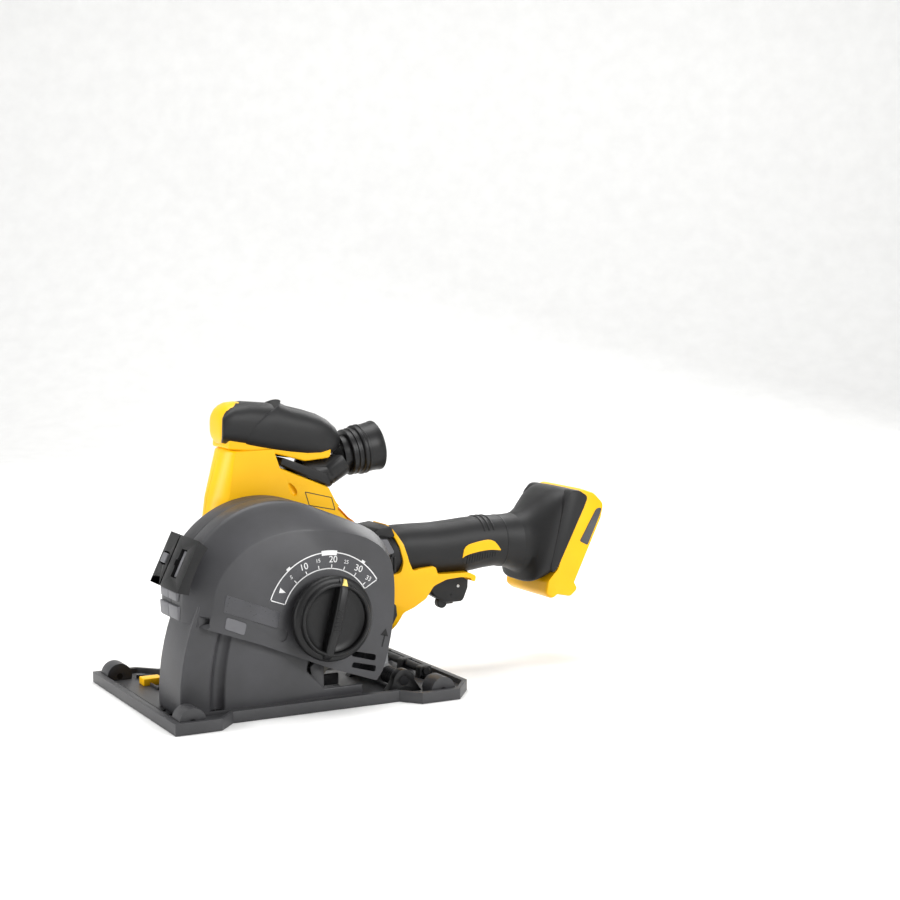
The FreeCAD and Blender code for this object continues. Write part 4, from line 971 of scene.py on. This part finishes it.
# ---------------------------------------------------------------- motor and gearcase

def round_the_motor(profile, name, count=96):
    return turned(name, profile, MOTOR_FROM, MOTOR_AXIS, count)


def out_of_the_motor(angle):
    """A unit vector across the motor's axis; 0 points to the far side, a quarter turn points up."""
    return Vector((-math.sin(MOTOR_TILT) * math.sin(angle), math.cos(angle),
                   math.cos(MOTOR_TILT) * math.sin(angle)))


def motor_housing():
    """The motor barrel behind the guard: alloy flange, yellow barrel with vents, black band."""
    softened("gearcase", "tool", ALLOY, 0.8)
    softened("gearcase_cap", "tool", ALLOY, 0.8)
    low, high = node_mm("gearcase_cap")
    for number, (sx, sz) in enumerate(((1, 1), (1, -1), (-1, 1), (-1, -1))):
        screw = turned("cap_screw_%d" % number,
                       [(0, -0.5), (2.8, -0.5), (2.8, 1.6), (2.4, 2.0), (1.2, 2.0), (1.2, 0.9),
                        (0, 0.9)],
                       (-28 + sx * 14.5, high.y - 0.6, 70 + sz * 14.5), (0, 1, 0), 24)
        finish(screw, STEEL, "tool")
    rad = 38.5
    barrel = round_the_motor([(30, 46), (34.5, 46), (35.5, 47), (37.2, 52), (rad - 0.4, 56),
                              (rad, 58), (rad, 95), (rad - 0.6, 96), (35.6, 96), (35.6, 60),
                              (30, 52), (30, 46)], "motor_barrel")
    vents = []
    for ring in range(4):
        a = math.radians(-12 + 24 * ring)
        middle = MOTOR_FROM + MOTOR_AXIS * 80 + out_of_the_motor(a) * rad
        vents.append(block("vent", middle, (22, 8, 3.6), (math.degrees(a), -10.6, 0)))
    finish(barrel, YELLOW, "tool", ("motor_housing",), cuts=vents, angle=30)
    flange = round_the_motor([(35, 96.2), (rad - 1.6, 96.2), (rad - 1.0, 97), (rad - 1.0, 103.4),
                              (rad - 1.6, 104), (35, 104), (35, 96.2)], "motor_flange")
    finish(flange, ALLOY, "tool", angle=30)
    band = round_the_motor([(30, 104.2), (rad - 1.4, 104.2), (rad - 0.6, 105), (rad - 1.4, 116),
                            (rad - 4, 118), (30, 118), (30, 104.2)], "motor_vent_band")
    slots = []
    for ring in range(14):
        a = math.radians(ring * 360 / 14)
        middle = MOTOR_FROM + MOTOR_AXIS * 110.5 + out_of_the_motor(a) * (rad - 1)
        slots.append(block("slot", middle, (6.5, 6, 7.5), (math.degrees(a), -10.6, 0)))
    finish(band, BLACK, "tool", cuts=slots, angle=30)
    for number, degrees in enumerate((50, 130, 230, 310)):
        out = out_of_the_motor(math.radians(degrees))
        lug = turned("flange_screw_%d" % number,
                     [(0, 0), (2.6, 0), (2.6, 9), (2.2, 9.6), (1.2, 9.6), (1.2, 8.6), (0, 8.6)],
                     MOTOR_FROM + MOTOR_AXIS * 95.5 + out * (rad - 3.4), MOTOR_AXIS, 20)
        finish(lug, STEEL, "tool")


# ---------------------------------------------------------------- handle

HANDLE = (
    # x, centre y, centre z, half width, half height
    (93.5, 9.5, 98.6, 24.4, 30.0), (97.0, 7.6, 102.6, 22.6, 25.8), (103.0, 6.0, 106.3, 21.4, 22.4),
    (108.0, 5.0, 107.2, 21.2, 21.8), (120.0, 5.0, 106.8, 21.5, 22.2), (140.0, 5.0, 105.8, 21.8, 22.9),
    (158.0, 5.0, 106.2, 21.8, 23.5), (172.0, 5.0, 107.2, 21.8, 23.6), (188.0, 5.0, 108.6, 21.9, 22.8),
    (200.0, 5.0, 108.8, 22.2, 22.2), (213.0, 5.0, 107.8, 22.8, 23.2), (222.0, 5.0, 106.0, 23.8, 25.6),
)


HANDLE_POWER = 2.2


def handle_section(x):
    """Centre y and z, half width and half height of the handle at x, between the listed ones."""
    for a, b in zip(HANDLE, HANDLE[1:]):
        if a[0] <= x <= b[0]:
            t = (x - a[0]) / (b[0] - a[0])
            return [p + (q - p) * t for p, q in zip(a, b)][1:]
    raise ValueError("the handle ends before %g" % x)


def handle_ring(x, grow=0.0):
    y, z, wide, high = handle_section(x)
    return oval(x, y, z, wide + grow, high + grow, HANDLE_POWER, 72)


def handle():
    """The rubber-covered grip, its rings, the side inlay and the ribbed thumb patch."""
    stations = [93.5 + 128.5 * i / 48 for i in range(49)]
    rings = [handle_ring(x) for x in stations]
    space = block("trigger_space", (153, MID, 86), (52, 17.4, 26))
    finish(stacked("handle_grip", rings), RUBBER, "tool",
           ("handle_near", "handle_far", "grip_sleeve"), cuts=(space,), angle=50)
    for number, x in enumerate((183.5, 188.0, 192.5)):
        profile = []
        for shift, grow in ((-1.1, -0.3), (-0.7, 0.5), (0, 0.85), (0.7, 0.5), (1.1, -0.3)):
            ring = handle_ring(x + shift, grow)
            profile.append([v for v in ring if v.z > 119.5])
        least = min(len(r) for r in profile)
        profile = [even(r, least) for r in profile]
        crest = stacked("grip_ring_%d" % number, profile, closed=False, caps=False)
        finish(crest, RUBBER, "tool", angle=60)
    bead = [handle_ring(x, grow)
            for x, grow in ((204.6, -0.4), (205.0, 0.25), (205.9, 0.25), (206.4, -0.4))]
    collar = stacked("boot_seam", bead, caps=False)
    finish(collar, BLACK, "tool", angle=60)
    side_patches()


def on_handle_side(x, z, proud, side):
    """The handle's surface point at a height, pushed out by proud; side is -1 near, 1 far."""
    y, centre, wide, high = handle_section(x)
    up = min(abs(z - centre) / high, 0.98)
    reach = wide * (1 - up ** HANDLE_POWER) ** (1 / HANDLE_POWER)
    return Vector((x, y + side * (reach + proud), z))


def side_patch(name, low_line, high_line, proud, material, side):
    """A patch that follows the handle's side between two edge lines."""
    rows, columns = 8, len(low_line)
    outer = []
    for row in range(rows + 1):
        line = [low_line[i].lerp(high_line[i], row / rows) for i in range(columns)]
        outer.append(line)
    front = [[on_handle_side(p[0], p[1], proud, side) for p in line] for line in outer]
    back = [[on_handle_side(p[0], p[1], -0.6, side) for p in line] for line in outer]
    vertices = [v for line in front for v in line] + [v for line in back for v in line]
    half = (rows + 1) * columns
    faces = []
    for row in range(rows):
        for i in range(columns - 1):
            a, b = row * columns + i, (row + 1) * columns + i
            faces.append((a, a + 1, b + 1, b))
            faces.append((half + b, half + b + 1, half + a + 1, half + a))
    for i in range(columns - 1):
        top = rows * columns + i
        faces.append((i + 1, i, half + i, half + i + 1))
        faces.append((top, top + 1, half + top + 1, half + top))
    for row in range(rows):
        a, b = row * columns, (row + 1) * columns
        faces.append((a, b, half + b, half + a))
        faces.append((b + columns - 1, a + columns - 1, half + a + columns - 1,
                      half + b + columns - 1))
    finish(raw(name, vertices, faces), material, "tool", bevel_mm=0.25, angle=50)


def side_patches():
    """On each side: a yellow crescent over a dark ribbed thumb patch."""
    for tag, side in (("near", -1), ("far", 1)):
        low = curved([(160.3, 99), (163, 101.2), (175, 103.6), (188, 104.6), (197.6, 103.0)], 16)
        high = curved([(160.3, 99.6), (161.4, 109.4), (174, 112.2), (190, 114), (197.8, 103.8)], 16)
        side_patch("yellow_inlay_" + tag, low, high, 0.45, YELLOW, side)
        low = curved([(161.0, 98), (162, 91.0), (176, 93.2), (190, 96.4), (198, 101.4)], 16)
        high = curved([(161.0, 98.6), (164, 100.4), (175, 102.8), (188, 103.8), (198, 102.0)], 16)
        side_patch("thumb_patch_" + tag, low, high, 0.2, BLACK, side)
        for number in range(12):
            x = 165.5 + number * 2.5
            bottom, top = 93.0 + number * 0.45, 101.6 + number * 0.12
            points = [on_handle_side(x, bottom + (top - bottom) * i / 5, 0.0, side)
                      for i in range(6)]
            rings = []
            for p in points:
                rings.append([p + Vector((-0.45, -side * 0.3, 0)), p + Vector((-0.3, side * 0.65, 0)),
                              p + Vector((0.3, side * 0.65, 0)), p + Vector((0.45, -side * 0.3, 0))])
            finish(stacked("thumb_rib_%s_%d" % (tag, number), rings), BLACK, "tool")


BOW = [(93.4, 131.6, 1), (95.4, 130.2, 1), (103.8, 115, 14), (108.2, 100, 14), (111.8, 91.8, 3),
       (119, 93.4, 8), (131, 94.4, 1.5), (133.4, 93.2, 1.5), (135.5, 87.2, 2.5), (147, 86.8, 6),
       (166, 86.4, 4), (173, 83.0, 3), (172.2, 78.0, 2), (169.2, 78.6, 1.5), (167.4, 81.6, 3),
       (158, 83.0, 10), (144, 82.2, 12), (131.5, 77.5, 8), (124.5, 67, 6), (114, 60.5, 6),
       (104, 56.5, 6), (97.5, 40, 5), (92.6, 34.5, 1.5), (91.6, 36, 1.5), (92.6, 54, 10),
       (91.0, 86, 4), (92.4, 90.0, 2), (100.4, 91.0, 5), (103.0, 100, 8), (100.2, 113, 16),
       (93.4, 129.6, 1)]
SIDE_OPENING = [(90, 68, 1), (96.6, 64, 3), (97.4, 55, 4), (92, 45.5, 1), (89, 50, 1)]


def bow():
    """The yellow bow: round the housing's end, over the trigger, to a hook tip."""
    outline = rounded(BOW, 5)
    piece = slab("yellow_bow", outline, MID - 26, MID + 42)
    hull = stacked("bow_hull", [
        oval(x, y, z, wide, high, 2.5, 72) for x, y, z, wide, high in
        ((74, 9, 84, 27, 50), (86, 8.6, 85, 26.4, 49), (96, 8, 86, 25.6, 48),
         (106, 6, 88, 23.9, 54), (120, 5, 90, 22.9, 56), (178, 5, 90, 22.6, 56))])
    keep_hull = piece.modifiers.new("hull", "BOOLEAN")
    keep_hull.operation = "INTERSECT"
    keep_hull.solver = "EXACT"
    keep_hull.object = hull
    inner = [handle_ring(x, -0.6) for x in (94.0, 100, 108, 120, 140, 160, 180)]
    hollow = stacked("grip_hollow", inner)
    gap = slab("trigger_gap", rounded([(135, 60), (135, 84), (148, 86.4), (166, 86.4), (180, 86),
                                       (180, 60)]), MID - 8.9, MID + 8.9)
    finish(piece, YELLOW, "tool", ("trigger_guard",), bevel_mm=1.2, segments=3,
           cuts=(hollow, gap, slab("side_opening", rounded(SIDE_OPENING), MID - 30, MID - 14)),
           angle=40, bevel_angle=50)
    bpy.data.objects.remove(hull)
    # painted shadow: a black slab set into the side opening stands for the shade inside it
    finish(slab("side_opening_floor", rounded(SIDE_OPENING), MID - 21, MID - 13), BLACK, "tool")
    dark = rounded([(70, 126), (84, 129, 4), (94, 116, 12), (99, 103, 12), (98, 90, 20),
                    (91.4, 54, 12), (88, 30, 3), (80, 42, 4), (74, 60, 8)])
    finish(slab("housing_end_shadow", dark, MID - 18.5, MID + 19), BLACK, "tool", bevel_mm=2.0)
    lug = rounded([(74, 121, 2), (88, 120.6, 2), (95, 108.6, 2), (86, 106.6, 2), (76, 108, 2)])
    finish(slab("gearcase_rear_lug", lug, MID - 22.6, MID - 17), LUG, "tool", bevel_mm=0.8)
    collar = rounded([(70, 124, 2), (80, 129.8, 3), (92, 131.2, 2), (96, 122, 3), (90.5, 121.4, 2),
                      (82, 123.4, 3), (72, 121, 2)])
    finish(slab("rear_collar", collar, MID - 21.4, MID + 20), RUBBER, "tool", bevel_mm=1.6)
    rib = slab("vent_rib", rounded([(84, 91.5, 1), (84, 105, 1), (86, 105, 1), (86, 91.5, 1)]),
               MID - 21, MID - 17)
    rowed(rib, 4, BLACK, "tool", step=(3.6, 0, 0), bevel_mm=0.4)


def trigger():
    """The trigger with a finger hollow, its pin and the lock-off roller."""
    outline = rounded([(130, 100, 2), (131, 79, 8), (139.5, 65.5, 8), (152, 58.5, 10),
                       (169, 58.4, 5), (174, 70, 6), (174.6, 84, 2), (142, 99, 2)])
    face = rounded([(131.5, 98, 2), (132.5, 79.6, 7), (140.6, 67.3, 7), (152.4, 60.4, 9),
                    (168, 60.3, 4), (172, 71, 5), (172.4, 83, 2), (142, 97, 2)])
    body = pillowed("trigger_moulding", outline, face, MID - 7.5, MID + 7.5,
                    ((0, 1), (0.3, 0.6), (0.9, 0.25), (1.8, 0)))
    slot = block("lock_space", (155.6, MID, 60), (20.8, 6.8, 20))
    finish(body, BLACK, "trigger", ("trigger",), cuts=(slot,), angle=40)
    for name, y, sign in (("near", MID - 7.5, -1), ("far", MID + 7.5, 1)):
        pin = turned("trigger_rivet_" + name, [(0, -1), (1.3, -1), (1.3, 0.15), (1.0, 0.3), (0, 0.3)],
                     (163.5, y, 72.5), (0, sign, 0), 24)
        finish(pin, STEEL, "trigger")
    roller = turned("lock_roller", [(0, -3.1), (4.2, -3.1), (4.8, -2.5), (4.8, 2.5), (4.2, 3.1),
                                    (0, 3.1)], (150.5, MID, 58.2), (0, 1, 0), 32)
    finish(roller, BLACK, "lock_off_lever")
    trim = block("lever_trim", (157, MID, 52), (24, 12, 9.4))
    softened("lock_off_lever", "lock_off_lever", BLACK, 0.4, 2, (trim,))


# ---------------------------------------------------------------- foot and boot

FOOT_OUTER = [(262, 132, 4), (266, 151, 6), (274, 153.6, 6), (286, 149.6, 8), (296, 140, 6),
              (293.5, 128, 8), (265, 70, 2), (268.5, 64, 3), (262, 58.6, 3), (248, 61.5, 1.5),
              (243, 57.8, 4), (236, 63, 5), (238, 74, 5), (248, 84, 10)]
BOOT_SIDE = [(240, 86, 5), (243, 80.5, 4), (248, 86, 8), (275, 138, 5), (279, 147, 4),
             (270, 152.4, 5), (262, 153.4, 8), (255, 146, 12), (249, 122, 20)]


def even_inset(outline, share):
    """An outline drawn towards its own middle by a share of the distance."""
    middle = sum(outline, Vector((0, 0))) / len(outline)
    return [p.lerp(middle, share) for p in outline]


def foot():
    """The battery foot: yellow rim frame, rails, and the rubber boot that swells into it."""
    outline = rounded(FOOT_OUTER)
    inner = even_inset(outline, 0.045)
    frame_body = pillowed("foot_frame", outline, inner, FOOT_NEAR, FOOT_FAR,
                          ((0, 1), (0.4, 0.62), (1.4, 0.28), (3.2, 0.06), (5, 0)))
    mouth = slab("contact_mouth", [(262, 118), (300, 130), (284, 80), (250, 84)], MID - 15, MID + 15)
    finish(frame_body, YELLOW, "tool", ("battery_foot",), cuts=[mouth], angle=40)
    for tag, y, sign in (("near", FOOT_NEAR, -1), ("far", FOOT_FAR, 1)):
        plate = rounded([(293.5, 136, 4), (287.5, 135.5, 5), (270.4, 107.5, 1.5),
                         (278.6, 103.4, 1.5), (290.6, 128, 8)])
        finish(slab("foot_label_" + tag, plate, y - 0.5, y + 0.6), LABEL, "tool", bevel_mm=0.3)
    stages = ((219.0, 107.2, 22.8, 24.0, 1.0, 2.2), (225.0, 107.2, 23.8, 26.0, 4, 2.25),
              (230.0, 108.4, 25.6, 30.4, 9, 2.4), (234.0, 110.2, 28.8, 36.0, 14, 2.8),
              (238.0, 112.0, 32.0, 41.2, 18, 3.4), (242.5, 112.8, 34.4, 43.8, 21, 4.2),
              (247.0, 113.2, 35.4, 44.4, 24, 5.0), (252.0, 113.4, 35.7, 43.4, 26, 5.6),
              (257.0, 113.4, 35.7, 41.4, 27.5, 6.0), (260.0, 113.2, 35.0, 39.8, 28.2, 6.0))
    rings = [oval(x, MID, z, wide, high, power, 72, lean)
             for x, z, wide, high, lean, power in stages]
    finish(stacked("foot_boot_rubber", rings), RUBBER, "tool", ("foot_boot",), bevel_mm=0.6, angle=50)
    skirt = rounded(BOOT_SIDE)
    inset = even_inset(skirt, 0.05)
    sides = pillowed("foot_boot_skirt", skirt, inset, FOOT_NEAR - 0.9, FOOT_FAR + 0.9,
                     ((0, 1), (0.3, 0.6), (1.0, 0.2), (2.2, 0)))
    finish(sides, RUBBER, "tool", angle=50)


# ---------------------------------------------------------------- moving small parts and inside

def disc_edges():
    """Diamond segments round each disc's rim, made as a ring of copies."""
    low, high = node_mm("diamond_discs")
    centre_x, centre_z = (low.x + high.x) / 2, (low.z + high.z) / 2
    thick = 2.4
    for tag, y in (("near", low.y + thick / 2), ("far", high.y - thick / 2)):
        segment = block("disc_segment_" + tag, (centre_x + 59.0, y, centre_z), (6.6, 2.5, 23.0))
        rowed(segment, 14, DIAMOND, "spindle_set", turn=(0, 360 / 14, 0),
              pivot=(centre_x, 0, centre_z), bevel_mm=0.3)


DARK_PINS = {"pivot_shaft": DARK_STEEL, "roller_axles": DARK_STEEL, "shoe_screws": DARK_STEEL}


def finish_cad_nodes():
    """Every CAD node that still shows gets the finish of its material slot."""
    for part in frame["record"]["subparts"]:
        node = nodes[part["node"]]
        material = SLOT_FINISH[part["material_slot"]]
        node.data.materials.clear()
        node.data.materials.append(DARK_PINS.get(part["node"], material))


# ---------------------------------------------------------------- setting

def stage():
    """A pale floor that curves up behind and soft studio lights."""
    reach, back = 6.0, 2.6
    line = [(-reach, 0.0), (back - 0.8, 0.0)]
    line += [(back - 0.8 + 0.8 * math.sin(math.radians(a)), 0.8 - 0.8 * math.cos(math.radians(a)))
             for a in range(10, 91, 10)]
    line += [(back, 5.0)]
    vertices = [(x, y, z - 0.0002) for y, z in line for x in (-reach, reach)]
    faces = [(2 * i, 2 * i + 1, 2 * i + 3, 2 * i + 2) for i in range(len(line) - 1)]
    mesh = bpy.data.meshes.new("floor")
    mesh.from_pydata(vertices, [], faces)
    mesh.shade_smooth()
    floor = bpy.data.objects.new("floor", mesh)
    bpy.context.scene.collection.objects.link(floor)
    floor.rotation_euler = (0, 0, math.radians(-28.8))
    mesh.materials.append(surface("matt_paper", "#EDEDEC", "#F2F2F1", 0.85, 2.0, 0.0))
    world = bpy.data.worlds.new("studio")
    world.use_nodes = True
    world.node_tree.nodes["Background"].inputs["Color"].default_value = linear("#FBFBFB")
    world.node_tree.nodes["Background"].inputs["Strength"].default_value = 0.55
    bpy.context.scene.world = world
    bpy.context.scene.view_settings.view_transform = "Standard"
    for name, place, power, wide, high in (("left", (-2.0, 0.25, 0.75), 30, 0.8, 1.3),
                                           ("front", (0.9, -1.9, 1.15), 34, 1.0, 1.0),
                                           ("top", (0.1, 0.3, 1.9), 26, 1.4, 1.0),
                                           ("back", (1.5, 1.0, 1.1), 16, 0.8, 1.0)):
        light = bpy.data.lights.new(name, "AREA")
        light.energy = power
        light.shape = "RECTANGLE"
        light.size = wide
        light.size_y = high
        lamp = bpy.data.objects.new(name, light)
        lamp.location = place
        aim = Vector((0.03, 0, 0.1)) - Vector(place)
        lamp.rotation_euler = aim.to_track_quat("-Z", "Y").to_euler()
        bpy.context.scene.collection.objects.link(lamp)


def camera():
    lens = bpy.data.cameras.new("camera")
    lens.lens = 70.1
    lens.sensor_width = 36
    lens.clip_start = 0.05
    eye = bpy.data.objects.new("camera", lens)
    eye.location = (-0.5636, -1.3105, 0.340)
    pitch = math.radians(5.70)
    level = Vector((0.4818, 0.8763, 0))
    look = level * math.cos(pitch) - Vector((0, 0, 1)) * math.sin(pitch)
    eye.rotation_euler = look.to_track_quat("-Z", "Y").to_euler()
    bpy.context.scene.collection.objects.link(eye)
    bpy.context.scene.camera = eye


finish_cad_nodes()
guard_cover()
upper_guard()
rim_lugs()
lower_guard()
shoe()
coil_spring()
latch()
dial_scale()
depth_dial()
duct()
top_grip()
dust_port()
motor_housing()
handle()
bow()
trigger()
foot()
disc_edges()
stage()
camera()


def corners(box):
    """A box as plain lists of numbers."""
    return [[float(c) for c in corner] for corner in box]
